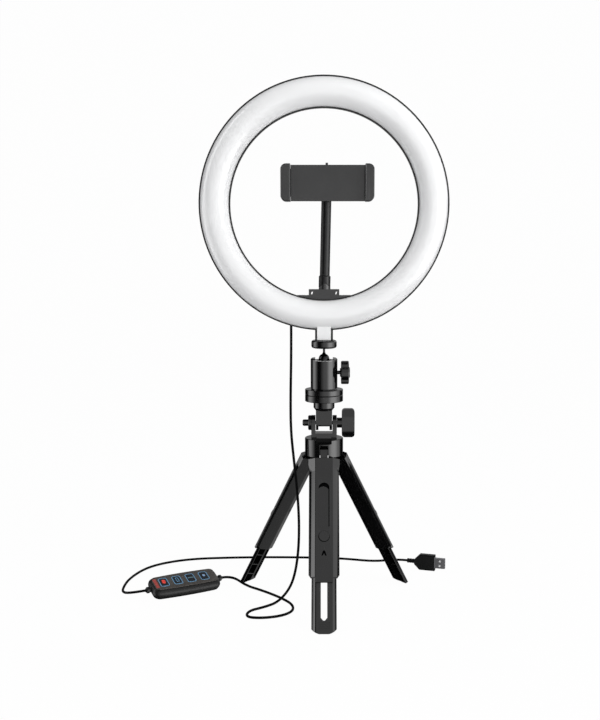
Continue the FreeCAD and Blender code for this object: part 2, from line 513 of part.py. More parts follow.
chips = []
for row_radius, first in ((size("ring_mid") - 5.5, 0.0), (size("ring_mid") + 5.5, 3.0)):
    for index in range(60):
        chip = Part.makeBox(2.8, 3.5, 0.8, V(row_radius - 1.4, -1.75, -2.6))
        chip.rotate(V(0, 0, 0), V(0, 0, 1), first + 6.0 * index)
        chips.append(chip)
leds = doc.addObject("Part::Feature", "led_chips")
leds.Shape = Part.makeCompound(chips)
keep(leds, "led_chips", (AT_RING, LIT_SIDE))

back_screws = []
for index in range(8):
    angle = 22.5 + 45 * index
    spot = "ring_mid*cos(%g); ring_mid*sin(%g); " % (angle, angle)
    head = primitive("Cylinder", spot + "-(shell_back + 1.5)", Radius="2.8", Height="1.5")
    shank = primitive("Cylinder", spot + "-(shell_back + 0.5)", Radius="1.5", Height="8")
    back_screws.append(joined("MultiFuse", [head, shank]))
group("housing_screws", back_screws, (AT_RING, LIT_SIDE))

boot = new_body("cord_outlet_boot", ("ring_right - outlet_out; shell_back + 4; ring_up - rim_in - 14.5", UPRIGHT))
spin(boot, [("0", "-9.3"), ("2.1", "-9.3"), ("2.5", "-6.5"), ("2.1", "-6"), ("2.1", "-5"), ("2.8", "-4.5"),
            ("2.8", "-3.4"), ("2.3", "-2.9"), ("2.3", "-2"), ("3.2", "-1.5"), ("3.2", "2.9"), ("0", "2.9")])

# ---------------------------------------------------------------- phone holder
bracket = new_body("holder_bracket", (AT_RING, LIT_SIDE))
half_chord = "sqrt((rim_in - 0.1)^2 - chord_up^2)"
pad(bracket, "XY", [[("-" + half_chord, "-chord_up", "0", 1), (half_chord, "-chord_up")]], "10", offset="-9")
pad(bracket, "XY", [box("-16", "16", "-chord_up - 0.6", "-saddle_top")], "12", offset="-9")
cut(bracket, "XY", [[(shift + "11.6", "0.8 - chord_up"), (shift + "13.0", "0.8 - chord_up"),
                     (shift + "13.9", "3.8 - chord_up"), (shift + "12.5", "3.8 - chord_up")]
                    for shift in ("", "-25.4 + ")], "20", both=True)
cut(bracket, "XZ", [("-19", "-7", "1.25"), ("19", "-7", "1.25")], "10", offset="rim_in + 1.5")
cut(bracket, "XZ", [("-19", "-7", "2.3"), ("19", "-7", "2.3")], "1.2", offset="chord_up", back=True)
cut(bracket, "XZ", [("0.6", "-neck_back", "2.45")], "5.4", offset="saddle_top", back=True)

bracket_screws = []
for x in (-19, 19):
    shank = primitive("Cylinder", "%g; 7; ring_up - rim_in - 3.5" % x, Radius="1.2", Height="rim_in + 2.9 - chord_up")
    head = primitive("Cylinder", "%g; 7; ring_up - chord_up - 1.2" % x, Radius="2.2", Height="1.1")
    bracket_screws.append(joined("MultiFuse", [shank, head]))
group("bracket_screws", bracket_screws)

AT_BEND = "0.6; neck_back; bend_up"
socket = new_body("neck_socket", (AT_BEND, UPRIGHT))
saddle = "ring_up - saddle_top - bend_up"
pad(socket, "XY", [("0", "0", "ferrule_dia/2")], "-(%s) - 1.6" % saddle, offset=saddle)
pad(socket, "XY", [("0", "0", "2.4")], "6", offset=saddle + " - 5.2")
cut(socket, "YZ", [("0", "0", "ferrule_dia/2 + slide_gap")], "20", both=True)

neck = new_body("gooseneck", (AT_BEND, "0; neck_lean; 0"))
reach = "(clamp_pivot_up - bend_up)/cos(neck_lean)"
pad(neck, "XY", [("0", "0", "ferrule_dia/2")], "12.6", offset="-ferrule_dia/2 - 0.2")
cut(neck, "YZ", [[("-8", "0"), ("-8", "-8"), ("8", "-8"), ("8", "0"), ("ferrule_dia/2", "0", "0", -1),
                  ("-ferrule_dia/2", "0")]], "20", both=True)
dress(neck, "Chamfer", "0.9", lambda e: lies(e, z=(6, 7)))
pad(neck, "XY", [("0", "0", "neck_dia/2")], reach + " - 12.5 - 6", offset="6")
pad(neck, "XY", [("0", "0", "3.4")], "7.6", offset=reach + " - 13")
pad(neck, "YZ", [[("4.4", reach, reach, 1), ("-4.4", reach), ("-3.4", reach + " - 8"), ("3.4", reach + " - 8")]],
    "4.6", both=True)
cut(neck, "YZ", [("0", reach, "1.55")], "12", both=True)

pivot_x = "0.6 + (clamp_pivot_up - bend_up)*tan(neck_lean)"
AT_PIVOT = pivot_x + "; neck_back; clamp_pivot_up"
swivel = new_body("clamp_swivel", (AT_PIVOT, UPRIGHT))
pad(swivel, "YZ", [[("-9.4", "-4.6"), ("0", "-4.6"), ("3.4", "-3"), ("4.6", "0"), ("3.4", "3"), ("0", "4.6"),
                    ("-9.4", "4.6")]], "10.4", both=True)
cut(swivel, "YZ", [box("-8.6", "8", "-9", "9")], "5.2", both=True)
cut(swivel, "YZ", [("0", "0", "1.5")], "20", both=True)
pad(swivel, "XZ", [("0", "0", "6.2")], "3", offset="9")
pad(swivel, "XZ", [("0", "0", "3")], "4.2", offset="11.5")
pad(swivel, "YZ", [[("-9.6", "4"), ("-6.4", "4"), ("-4.2", "18.6"), ("-5.2", "21.3"), ("-6.2", "18.6")]], "2.6",
    both=True)

pivot_pin = new_body("clamp_pivot_pin", (AT_PIVOT, ALONG_X))
spin(pivot_pin, [("0", "-7"), ("2.4", "-7"), ("2.4", "-5.25"), ("1.48", "-5.25"), ("1.48", "5.25"), ("2.4", "5.25"),
                 ("2.4", "7"), ("0", "7")])

# the clamp's frame has its origin in the middle of the plate's back face
AT_PLATE = pivot_x + " - clamp_shift; neck_back - 12.3; clamp_pivot_up"
plate_left = "-(clamp_half - jaw_wide - 1.2)"
tall = "plate_half_tall + 0.6"
clamp = new_body("clamp_body", (AT_PLATE, UPRIGHT))
pad(clamp, "XZ", [box(plate_left, "clamp_half - 4", "-plate_half_tall", "plate_half_tall")], "plate_thick")
pad(clamp, "XZ", [box("clamp_half - jaw_wide", "clamp_half", "-(%s)" % tall, tall)], "jaw_out")
dress(clamp, "Fillet", "5.6", lambda e: e.BoundBox.YLength > 4 and e.BoundBox.Center.x > size("clamp_half") - 0.1)
dress(clamp, "Chamfer", "0.8", lambda e: lies(e, y=(-size("jaw_out"), -size("jaw_out"))))
cut(clamp, "XZ", [box("clamp_half - jaw_wide", "clamp_half - jaw_wide + 1.2", "-14", "14")], "8", offset="6", back=True)
cut(clamp, "YZ", [("-plate_thick/2", "-11", "rod_dia/2 + run_gap"), ("-plate_thick/2", "11", "rod_dia/2 + run_gap")],
    "42", offset=plate_left, back=True)
cut(clamp, "XZ", [("clamp_shift", "0", "3.05")], "4", back=True)
cut(clamp, "XZ", [box("-30", "-8", "-7", "7"), box("8", "36", "-7", "7")], "1.6", back=True)

sliding = new_body("clamp_sliding_jaw", (AT_PLATE, UPRIGHT))
inner_x = "-(clamp_half - jaw_wide - 0.9)"
pad(sliding, "XZ", [box("-clamp_half", inner_x, "-(%s)" % tall, tall)], "jaw_out")
dress(sliding, "Fillet", "5.6", lambda e: e.BoundBox.YLength > 4 and e.BoundBox.Center.x < -size("clamp_half") + 0.1)
dress(sliding, "Chamfer", "0.8", lambda e: lies(e, y=(-size("jaw_out"), -size("jaw_out"))))
cut(sliding, "XZ", [box(inner_x + " - 1.2", inner_x, "-14", "14")], "8", offset="6", back=True)
cut(sliding, "YZ", [("-plate_thick/2", "-11", "rod_dia/2"), ("-plate_thick/2", "11", "rod_dia/2")], "5",
    offset=inner_x + " - 5", back=True)

rods = [primitive("Cylinder", "%s - 5; -plate_thick/2; %d" % (inner_x, z), ALONG_X, Radius="rod_dia/2", Height="42")
        for z in (-11, 11)]
group("clamp_guide_rods", rods, (AT_PLATE, UPRIGHT))

for label, x_low in (("fixed_jaw_pad", "clamp_half - jaw_wide - 0.4"), ("sliding_jaw_pad", inner_x + " - 1.2")):
    jaw_pad = new_body(label, (AT_PLATE, UPRIGHT))
    pad(jaw_pad, "XZ", [box(x_low, x_low + " + 1.6", "-13.9", "13.9")], "7.8", offset="6.1")

# ---------------------------------------------------------------- remote, its top tilted towards the lit side
AT_REMOTE = ("remote_x; remote_y; remote_up", "remote_yaw; 0; remote_tilt")
half_long = "remote_long/2"
half_wide = "remote_wide/2"
lower = new_body("remote_lower_shell", AT_REMOTE)
pad(lower, "XY", [rounded(half_long, half_wide, "remote_corner")], "3.2", offset="-2.2")
loft(lower, draw(lower, "XY", [rounded(half_long, half_wide, "remote_corner")], "-2.2"),
     draw(lower, "XY", [rounded(half_long + " - 4", half_wide + " - 3.6", "remote_corner - 2")], "-remote_half_tall"))
cut(lower, "XY", [rounded(half_long + " - 3", "7.4", "1")], "2.4", offset="1")
cut(lower, "XY", [rounded(half_long + " - 6", "5.4", "1")], "5.4", offset="1")

upper = new_body("remote_top_shell", AT_REMOTE)
pad(upper, "XY", [rounded(half_long, half_wide, "remote_corner")], "remote_half_tall - 1", offset="1")
dress(upper, "Fillet", "1.6", lambda e: lies(e, z=(size("remote_half_tall"), size("remote_half_tall"))))
cut(upper, "XY", [rounded(half_long + " - 2.4", "9.6", "4")], "remote_half_tall - 2.6", offset="1", back=True)
KEYS = [("power", "-24.6"), ("colour", "-9"), ("brighter", "6.6"), ("dimmer", "22.2")]
cut(upper, "XY", [rounded("4.15", "6.75", "1.75", x) for _, x in KEYS] + [box("-35.4", "-31.4", "-8.5", "8.5")],
    "6", offset="remote_half_tall + 1")

window = new_body("remote_window", AT_REMOTE)
pad(window, "XY", [box("-35.3", "-31.5", "-8.4", "8.4")], "1.5", offset="remote_half_tall - 1.6")

circuit = new_body("remote_board", AT_REMOTE)
pad(circuit, "XY", [box("-(%s - 4.3)" % half_long, half_long + " - 4.3", "-7.2", "7.2")], "1.2", offset="-1.4")

for name, x in KEYS:
    key = new_body("remote_key_" + name, AT_REMOTE)
    pad(key, "XY", [rounded("3.95", "6.55", "1.6", x)], "2.4", offset="remote_half_tall - 1.9")
    pad(key, "XY", [(x, "0", "1.8")], "remote_half_tall - 2.4", offset="0.9")

reliefs = []
for end, turn in (("1", "0; 90; 0"), ("-1", "0; -90; 0")):
    collar = primitive("Cylinder", "%s*%s; 0; 0" % (end, half_long), turn, Radius="2.7", Height="2")
    flange = primitive("Cylinder", "%s*(%s + 1.9); 0; 0" % (end, half_long), turn, Radius="3.5", Height="2.6")
    taper = primitive("Cone", "%s*(%s + 4.4); 0; 0" % (end, half_long), turn, Radius1="3", Radius2="1.9", Height="1.6")
    reliefs.append(joined("MultiFuse", [collar, flange, taper]))
group("remote_reliefs", reliefs, AT_REMOTE)

# ---------------------------------------------------------------- plug, on its narrow edge, tip along +X
AT_PLUG = ("plug_x; plug_y; plug_up", "plug_yaw; 0; 0")
grip = new_body("plug_overmould", AT_PLUG)
pad(grip, "XZ", [[("-3.4", "-2.6"), ("3.4", "-plug_up"), ("21", "-plug_up"), ("21", "plug_up"), ("3.4", "plug_up"),
                  ("-3.4", "2.6")]], "8.6", both=True)
dress(grip, "Fillet", "1.8", lambda e: e.BoundBox.XLength > 10)
pad(grip, "YZ", [("0", "0", "2.6")], "9.6", offset="-12.4")
for x in ("-10.2", "-7.4"):
    cut(grip, "XZ", [box(x, x + " + 1", "1.9", "4"), box(x, x + " + 1", "-4", "-1.9")], "9", both=True)
cut(grip, "YZ", [box("-2.25", "2.25", "-6", "6")], "6", offset="21")

steel = new_body("plug_shell", AT_PLUG)
pad(steel, "YZ", [box("-2.25", "2.25", "-6", "6")], "18", offset="15.1")
cut(steel, "YZ", [box("-1.95", "1.95", "-5.7", "5.7")], "17.7", offset="15.4", back=True)
cut(steel, "XZ", [box("26.2", "28.4", "1.6", "3.8"), box("26.2", "28.4", "-3.8", "-1.6")], "20", both=True)

tongue = new_body("plug_tongue", AT_PLUG)
pad(tongue, "XZ", [box("15.5", "31.8", "-5.6", "5.6")], "1.8", offset="0.05")

# ---------------------------------------------------------------- cord, in three stretches of straight runs and arcs
def tube(label, points, radius):
    """A round cord through the points: straight runs joined by tangent arcs."""
    spots = [V(*point) for point in points]
    edges = []
    last = spots[0]
    length = 0.0
    tightest = 1e9
    for before, corner, after in zip(spots, spots[1:], spots[2:]):
        back = (before - corner).normalize()
        ahead = (after - corner).normalize()
        half_turn = (math.pi - back.getAngle(ahead)) / 2
        trim = 0.45 * min((before - corner).Length, (after - corner).Length)
        bend = trim / math.tan(half_turn)
        middle = (back + ahead).normalize()
        begin = corner + back * trim
        end = corner + ahead * trim
        crest = corner + middle * (bend / math.cos(half_turn) - bend)
        edges.append(Part.LineSegment(last, begin).toShape())
        edges.append(Part.Arc(begin, crest, end).toShape())
        last = end
        tightest = min(tightest, bend)
    edges.append(Part.LineSegment(last, spots[-1]).toShape())
    length = sum(edge.Length for edge in edges)
    path = Part.Wire(edges)
    disc = Part.Wire([Part.makeCircle(radius, spots[0], (spots[1] - spots[0]).normalize())])
    made = doc.addObject("Part::Feature", label)
    made.Shape = path.makePipeShell([disc], True, True)
    share = made.Shape.Volume / (math.pi * radius**2 * length)
    print("%s: length %.1f mm, tightest bend %.1f mm, volume share %.4f" % (label, length, tightest, share))
    return keep(made, label)


def ahead_of(spot, yaw, distance):
    return (spot[0] + distance * math.cos(yaw), spot[1] + distance * math.sin(yaw), spot[2])


on_floor = size("cord_dia/2")
remote_yaw = math.radians(size("remote_yaw"))
remote_mid = (size("remote_x"), size("remote_y"), size("remote_up"))
relief_reach = size("remote_long/2 + 6")
right_end = ahead_of(remote_mid, remote_yaw, relief_reach)
left_end = ahead_of(remote_mid, remote_yaw, -relief_reach)
plug_yaw = math.radians(size("plug_yaw"))
plug_end = ahead_of((size("plug_x"), size("plug_y"), size("plug_up")), plug_yaw, -12.4)
landing = (-43.2, -16.5, 7.7)
HANGING = [(-35.2, 15, 302), (-35.2, 15, 268), (-36.0, 8, 222), (-35.6, -1, 186), (-32.2, -9.5, 156),
           (-28.6, -14.5, 124), (-26.6, -16.5, 92), (-27.2, -16.5, 60), (-30.8, -15, 33), (-37.0, -12.9, 14), landing]
tube("cord_hanging", HANGING, size("cord_dia/2"))
TO_REMOTE = [landing, (-49.4, -20.1, on_floor), (-63, -35, on_floor), (-79.5, -46.5, on_floor), (-81, -64.5, on_floor),
             (-64, -67.5, on_floor), (-43.5, -61, on_floor), (-32, -46.5, on_floor), (-34, -26, on_floor),
             (-49, -4.5, on_floor), (-70, 17.5, on_floor), (-88, 32.5, on_floor),
             ahead_of(right_end, remote_yaw, 12.5), right_end]
tube("cord_to_remote", TO_REMOTE, size("cord_dia/2"))
TO_PLUG = [left_end, ahead_of(left_end, remote_yaw, -13.5), (-220, -4.5, 6), (-226.5, 24, on_floor),
           (-225.5, 60, on_floor), (-210, 104, on_floor), (-170, 130, on_floor), (-118, 136.5, on_floor),
           (-67, 138.3, on_floor), (-17, 137, on_floor), (23.5, 133, on_floor), (62, 121, on_floor),
           ahead_of(plug_end, plug_yaw, -15), plug_end]
tube("cord_to_plug", TO_PLUG, size("cord_dia/2"))

# ---------------------------------------------------------------- checks and files
doc.recompute()
for thing in doc.Objects:
    if "Invalid" in thing.State or "Error" in thing.State:
        raise RuntimeError("%s is %s" % (thing.Label, thing.State))
os.makedirs("parts", exist_ok=True)
for node in NODES:
    shape = node.Shape
    if shape.isNull() or not shape.isValid():
        raise RuntimeError("%s has no valid solid" % node.Label)
    shape.exportStep("parts/%s.step" % node.Label)
print("%d nodes" % len(NODES))
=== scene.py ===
import bpy
import json
import math
from mathutils import Matrix, Vector


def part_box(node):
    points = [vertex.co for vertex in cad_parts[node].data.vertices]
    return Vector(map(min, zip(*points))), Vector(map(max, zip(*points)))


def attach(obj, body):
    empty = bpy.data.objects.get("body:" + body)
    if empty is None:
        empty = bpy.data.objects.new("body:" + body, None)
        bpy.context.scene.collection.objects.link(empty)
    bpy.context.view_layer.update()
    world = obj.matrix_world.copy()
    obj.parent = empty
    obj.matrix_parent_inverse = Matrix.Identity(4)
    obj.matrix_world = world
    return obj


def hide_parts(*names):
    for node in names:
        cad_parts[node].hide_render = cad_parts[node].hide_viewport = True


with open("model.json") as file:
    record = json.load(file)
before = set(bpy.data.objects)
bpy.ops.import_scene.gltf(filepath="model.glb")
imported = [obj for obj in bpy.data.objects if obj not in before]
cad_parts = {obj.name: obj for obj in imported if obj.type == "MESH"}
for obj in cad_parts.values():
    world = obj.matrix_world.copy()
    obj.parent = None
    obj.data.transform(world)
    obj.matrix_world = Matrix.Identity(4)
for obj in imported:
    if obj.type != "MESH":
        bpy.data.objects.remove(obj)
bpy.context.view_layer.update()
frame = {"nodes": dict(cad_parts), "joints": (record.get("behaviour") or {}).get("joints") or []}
bpy.ops.object.select_all(action="DESELECT")

# ---------------------------------------------------------------- studio: floor, sweep, lamps and camera
# A pale paper sweep, four soft lamps and a camera a metre in front of the lit side. The paper shows white
# to the camera and keeps a faint shadow. Gloss doesn't see it or the lamps, but the light boxes further on.
CAMERA_BACK = 1.02377
CAMERA_UP = 0.36934
CAMERA_DOWN = 8.39
LENS = 48.466
SHIFT_ACROSS = -0.0333611
SHIFT_UP = 0.0562361
PAPER_WIDE = 9.0
PAPER_FLAT = 5.0
PAPER_IN_FRONT = 3.0
PAPER_BEND = 0.8
PAPER_RISE = 3.0
PAPER_GLOW = 0.975


def node_tree(name):
    """An empty node material and its tree."""
    material = bpy.data.materials.new(name)
    material.use_nodes = True
    material.node_tree.nodes.clear()
    return material, material.node_tree


def add(tree, kind, at=(0, 0), **values):
    """A shader node with its inputs or properties set."""
    made = tree.nodes.new(kind)
    made.location = at
    for key, value in values.items():
        key = key.replace("_", " ")
        if key in made.inputs:
            made.inputs[key].default_value = value
        else:
            setattr(made, key.replace(" ", "_"), value)
    return made


bpy.ops.mesh.primitive_grid_add(x_subdivisions=2, y_subdivisions=40, size=1, location=(0, 0, 0))
sweep = bpy.context.object
sweep.name = "paper_sweep"
curve = PAPER_BEND * math.pi / 2
for corner in sweep.data.vertices:
    run = (corner.co.y + 0.5) * (PAPER_FLAT + curve + PAPER_RISE)
    corner.co.x *= PAPER_WIDE
    if run < PAPER_FLAT:
        corner.co.y = run - PAPER_IN_FRONT
    elif run < PAPER_FLAT + curve:
        turn = (run - PAPER_FLAT) / PAPER_BEND
        corner.co.y = PAPER_FLAT - PAPER_IN_FRONT + PAPER_BEND * math.sin(turn)
        corner.co.z = PAPER_BEND * (1 - math.cos(turn))
    else:
        corner.co.y = PAPER_FLAT - PAPER_IN_FRONT + PAPER_BEND
        corner.co.z = PAPER_BEND + run - PAPER_FLAT - curve
bpy.ops.object.shade_smooth()
paper, tree = node_tree("paper")
lightpath = add(tree, "ShaderNodeLightPath", (-600, 300))
either = add(tree, "ShaderNodeMath", (-400, 300), operation="MAXIMUM")
tree.links.new(lightpath.outputs["Is Camera Ray"], either.inputs[0])
tree.links.new(lightpath.outputs["Is Glossy Ray"], either.inputs[1])
share = add(tree, "ShaderNodeMath", (-200, 300), operation="MULTIPLY")
share.inputs[1].default_value = PAPER_GLOW
tree.links.new(either.outputs[0], share.inputs[0])
matt = add(tree, "ShaderNodeBsdfDiffuse", (-200, 0), Color=(0.86, 0.86, 0.86, 1))
white = add(tree, "ShaderNodeEmission", (-200, -150), Color=(1, 1, 1, 1), Strength=1.0)
mixed = add(tree, "ShaderNodeMixShader", (0, 100))
out = add(tree, "ShaderNodeOutputMaterial", (200, 100))
tree.links.new(share.outputs[0], mixed.inputs[0])
tree.links.new(matt.outputs[0], mixed.inputs[1])
tree.links.new(white.outputs[0], mixed.inputs[2])
tree.links.new(mixed.outputs[0], out.inputs[0])
sweep.data.materials.append(paper)
sweep.visible_glossy = False

# The air round the object: an even fill for matt surfaces, and for gloss the light boxes and black flags of
# the studio. Each box is (bearing from the lit side in degrees, strength), in two tiers, below and above eye
# level. The levels below are the sine of a line's rise over the horizon.
world = bpy.data.worlds.new("studio_air")
bpy.context.scene.world = world
world.use_nodes = True
tree = world.node_tree
tree.nodes.clear()
BOX_PEAK = 5.0
BOXES_LOW = (
    (-180, 0.35), (-160, 0.35), (-152, 0), (-118, 0), (-108, 1.5), (-97, 3.4), (-82, 2.9), (-70, 1.4),
    (-60, 0.4), (-54, 0), (-31, 0), (-22, 0.4), (-10, 0.85), (0, 1.25), (20, 1.45), (29, 2.0), (37, 3.4),
    (47, 4.9), (66, 5.0), (77, 4.0), (88, 2.2), (100, 1.6), (112, 0.4), (116, 0), (152, 0), (160, 0.35),
    (180, 0.35))
BOXES_HIGH = (
    (-180, 0.35), (-168, 0.35), (-160, 0), (-102, 0), (-97, 3.4), (-80, 3.4), (-74, 0), (-12, 0), (-5, 0.95),
    (12, 0.95), (40, 1.1), (80, 1.4), (140, 1.3), (165, 0.35), (180, 0.35))
EYE_LEVEL = (0.05, 0.12)
CEILING = (0.74, 0.86)
CEILING_GLOW = 0.2
TABLE = (-0.62, -0.42)
TABLE_RIGHT = (0.28, 0.4)
TABLE_GLOW = 0.5
STRIP_LEFT_EDGE = (2.3, 2.4)
STRIP_RIGHT_EDGE = (2.62, 2.72)
STRIP_FOOT = (-0.11, -0.08)
STRIP_TOP = (0.03, 0.08)
STRIP_GLOW = 0.55
WHITE = (1, 1, 1, 1)


def reckoned(tree, operation, first, second):
    """A Math node; each input is a socket or a number."""
    made = add(tree, "ShaderNodeMath", operation=operation)
    for socket, value in zip(made.inputs, (first, second)):
        if isinstance(value, (int, float)):
            socket.default_value = value
        else:
            tree.links.new(value, socket)
    return made.outputs[0]


def stepped(tree, value, span, at_low, at_high):
    """A smooth change from one level to another as the value passes through the span."""
    made = add(tree, "ShaderNodeMapRange", interpolation_type="SMOOTHSTEP")
    for name, number in zip(("From Min", "From Max", "To Min", "To Max"), (*span, at_low, at_high)):
        made.inputs[name].default_value = number
    tree.links.new(value, made.inputs["Value"])
    return made.outputs["Result"]


bearing = add(tree, "ShaderNodeTexCoord")
parts = add(tree, "ShaderNodeSeparateXYZ")
tree.links.new(bearing.outputs["Generated"], parts.inputs[0])
ahead = reckoned(tree, "MULTIPLY", parts.outputs["Y"], -1)
turned = reckoned(tree, "ARCTAN2", parts.outputs["X"], ahead)
around = reckoned(tree, "ADD", reckoned(tree, "MULTIPLY", turned, 1 / (2 * math.pi)), 0.5)
tiers = []
for boxes in (BOXES_LOW, BOXES_HIGH):
    ramp = add(tree, "ShaderNodeValToRGB")
    stops = ramp.color_ramp.elements
    for index, (angle, level) in enumerate(boxes):
        stop = stops[index] if index < 2 else stops.new(1.0)
        stop.position = (angle + 180) / 360
        stop.color = [level / BOX_PEAK] * 3 + [1]
    tree.links.new(around, ramp.inputs["Fac"])
    tiers.append(ramp.outputs["Color"])
rise = parts.outputs["Z"]
upper = stepped(tree, rise, EYE_LEVEL, 0, 1)
blend = add(tree, "ShaderNodeMix", data_type="RGBA")
tree.links.new(upper, blend.inputs["Factor"])
tree.links.new(tiers[0], blend.inputs["A"])
tree.links.new(tiers[1], blend.inputs["B"])
ceiling = stepped(tree, rise, CEILING, BOX_PEAK, CEILING_GLOW)
table = stepped(tree, rise, TABLE, 0, 1)
walls = reckoned(tree, "MULTIPLY", ceiling, table)
under = stepped(tree, rise, TABLE, 1, 0)
below = reckoned(tree, "MULTIPLY", under, stepped(tree, parts.outputs["X"], TABLE_RIGHT, 0, TABLE_GLOW))
boxes_light = add(tree, "ShaderNodeBackground")
tree.links.new(blend.outputs["Result"], boxes_light.inputs["Color"])
tree.links.new(walls, boxes_light.inputs["Strength"])
table_light = add(tree, "ShaderNodeBackground", Color=WHITE)
tree.links.new(below, table_light.inputs["Strength"])
aside = reckoned(tree, "ABSOLUTE", turned, 0)
past_left = stepped(tree, aside, STRIP_LEFT_EDGE, 0, 1)
strip = reckoned(tree, "MULTIPLY", past_left, stepped(tree, aside, STRIP_RIGHT_EDGE, 1, 0))
over_foot = stepped(tree, rise, STRIP_FOOT, 0, STRIP_GLOW)
level = reckoned(tree, "MULTIPLY", over_foot, stepped(tree, rise, STRIP_TOP, 1, 0))
strip_light = add(tree, "ShaderNodeBackground", Color=WHITE)
tree.links.new(reckoned(tree, "MULTIPLY", strip, level), strip_light.inputs["Strength"])
both = add(tree, "ShaderNodeAddShader")
tree.links.new(boxes_light.outputs[0], both.inputs[0])
tree.links.new(table_light.outputs[0], both.inputs[1])
reflected = add(tree, "ShaderNodeAddShader")
tree.links.new(both.outputs[0], reflected.inputs[0])
tree.links.new(strip_light.outputs[0], reflected.inputs[1])
lightpath = add(tree, "ShaderNodeLightPath")
seen = reckoned(tree, "MAXIMUM", lightpath.outputs["Is Camera Ray"], lightpath.outputs["Is Transmission Ray"])
fill = add(tree, "ShaderNodeBackground", Color=(0.97, 0.98, 1.0, 1), Strength=0.42)
white = add(tree, "ShaderNodeBackground", Color=WHITE, Strength=1.0)
shown = add(tree, "ShaderNodeMixShader")
tree.links.new(seen, shown.inputs[0])
tree.links.new(fill.outputs[0], shown.inputs[1])
tree.links.new(white.outputs[0], shown.inputs[2])
mixed = add(tree, "ShaderNodeMixShader")
out = add(tree, "ShaderNodeOutputWorld")
tree.links.new(lightpath.outputs["Is Glossy Ray"], mixed.inputs[0])
tree.links.new(shown.outputs[0], mixed.inputs[1])
tree.links.new(reflected.outputs[0], mixed.inputs[2])
tree.links.new(mixed.outputs[0], out.inputs[0])

LAMPS = (
    ("lamp_left", (-1.7, -0.5, 0.7), (0.35, 1.5), 3),
    ("lamp_right", (1.5, -1.1, 0.9), (0.9, 1.4), 17),
    ("lamp_top", (0.3, -0.6, 2.0), (1.4, 1.0), 10),
    ("lamp_front", (0.2, -1.9, 0.18), (1.2, 0.3), 4))
LAMPS_AIM = Vector((0, 0, 0.3))
for name, place, size, power in LAMPS:
    bpy.ops.object.light_add(type="AREA", location=place)
    lamp = bpy.context.object
    lamp.name = name
    lamp.data.shape = "RECTANGLE"
    lamp.data.size, lamp.data.size_y = size
    lamp.data.energy = power
    aim = LAMPS_AIM - Vector(place)
    lamp.rotation_euler = aim.to_track_quat("-Z", "Y").to_euler()
    lamp.visible_glossy = False

bpy.ops.object.select_all(action="DESELECT")

bpy.ops.object.camera_add(location=(0, -CAMERA_BACK, CAMERA_UP),
                          rotation=(math.radians(90 - CAMERA_DOWN), 0, 0))
camera = bpy.context.object
camera.data.lens = LENS
camera.data.sensor_width = 36
camera.data.shift_x = SHIFT_ACROSS
camera.data.shift_y = SHIFT_UP
bpy.context.scene.camera = camera
bpy.context.scene.view_settings.view_transform = "Standard"

# ---------------------------------------------------------------- cord
# One round PVC cord: it drops from the outlet behind the ring's neck, lies on the table in a loose loop and
# runs into the remote, and a second length goes on from there to the USB plug.
CORD_THICK = 0.0028


def satin_pvc(name, colour, rough, shine=0.3):
    """Soft PVC: nearly smooth, with faint flow marks and dust."""
    material, tree = node_tree(name)
    place = add(tree, "ShaderNodeTexCoord", (-900, 0))
    cloudy = add(tree, "ShaderNodeTexNoise", (-700, 100), Scale=90.0, Detail=4.0)
    grain = add(tree, "ShaderNodeTexNoise", (-700, -200), Scale=1800.0, Detail=2.0)
    tint = add(tree, "ShaderNodeValToRGB", (-500, 100))
    tint.color_ramp.elements[0].position = 0.3
    tint.color_ramp.elements[0].color = [c * 0.8 for c in colour] + [1]
    tint.color_ramp.elements[1].position = 0.75
    tint.color_ramp.elements[1].color = [min(1, c * 1.25) for c in colour] + [1]
    matt = add(tree, "ShaderNodeMapRange", (-500, -100))
    matt.inputs["To Min"].default_value = rough - 0.06
    matt.inputs["To Max"].default_value = rough + 0.08
    relief = add(tree, "ShaderNodeBump", (-300, -250), Strength=0.005, Distance=0.0001)
    skin = add(tree, "ShaderNodeBsdfPrincipled", (-100, 0))
    skin.inputs["Specular IOR Level"].default_value = shine
    out = add(tree, "ShaderNodeOutputMaterial", (200, 0))
    for noise in (cloudy, grain):
        tree.links.new(place.outputs["Object"], noise.inputs["Vector"])
    tree.links.new(cloudy.outputs["Fac"], tint.inputs["Fac"])
    tree.links.new(cloudy.outputs["Fac"], matt.inputs["Value"])
    tree.links.new(grain.outputs["Fac"], relief.inputs["Height"])
    tree.links.new(tint.outputs["Color"], skin.inputs["Base Color"])
    tree.links.new(matt.outputs["Result"], skin.inputs["Roughness"])
    tree.links.new(relief.outputs["Normal"], skin.inputs["Normal"])
    tree.links.new(skin.outputs[0], out.inputs[0])
    return material


cord_skin = satin_pvc("cord_pvc", (0.0025, 0.0025, 0.0026), 0.5, 0.04)


def cord_piece(name, route):
    """A smooth round cord whose control points are the route's points, in millimetres."""
    line = bpy.data.curves.new(name, "CURVE")
    line.dimensions = "3D"
    line.bevel_depth = CORD_THICK / 2
    line.bevel_resolution = 5
    line.resolution_u = 10
    line.use_fill_caps = True
    spline = line.splines.new("NURBS")
    spline.points.add(len(route) - 1)
    for point, spot in zip(spline.points, route):
        point.co = (spot[0] / 1000, spot[1] / 1000, spot[2] / 1000, 1)
    spline.order_u = 3
    spline.use_endpoint_u = True
    made = bpy.data.objects.new(name, line)
    bpy.context.collection.objects.link(made)
    line.materials.append(cord_skin)
    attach(made, "tripod")
    return made


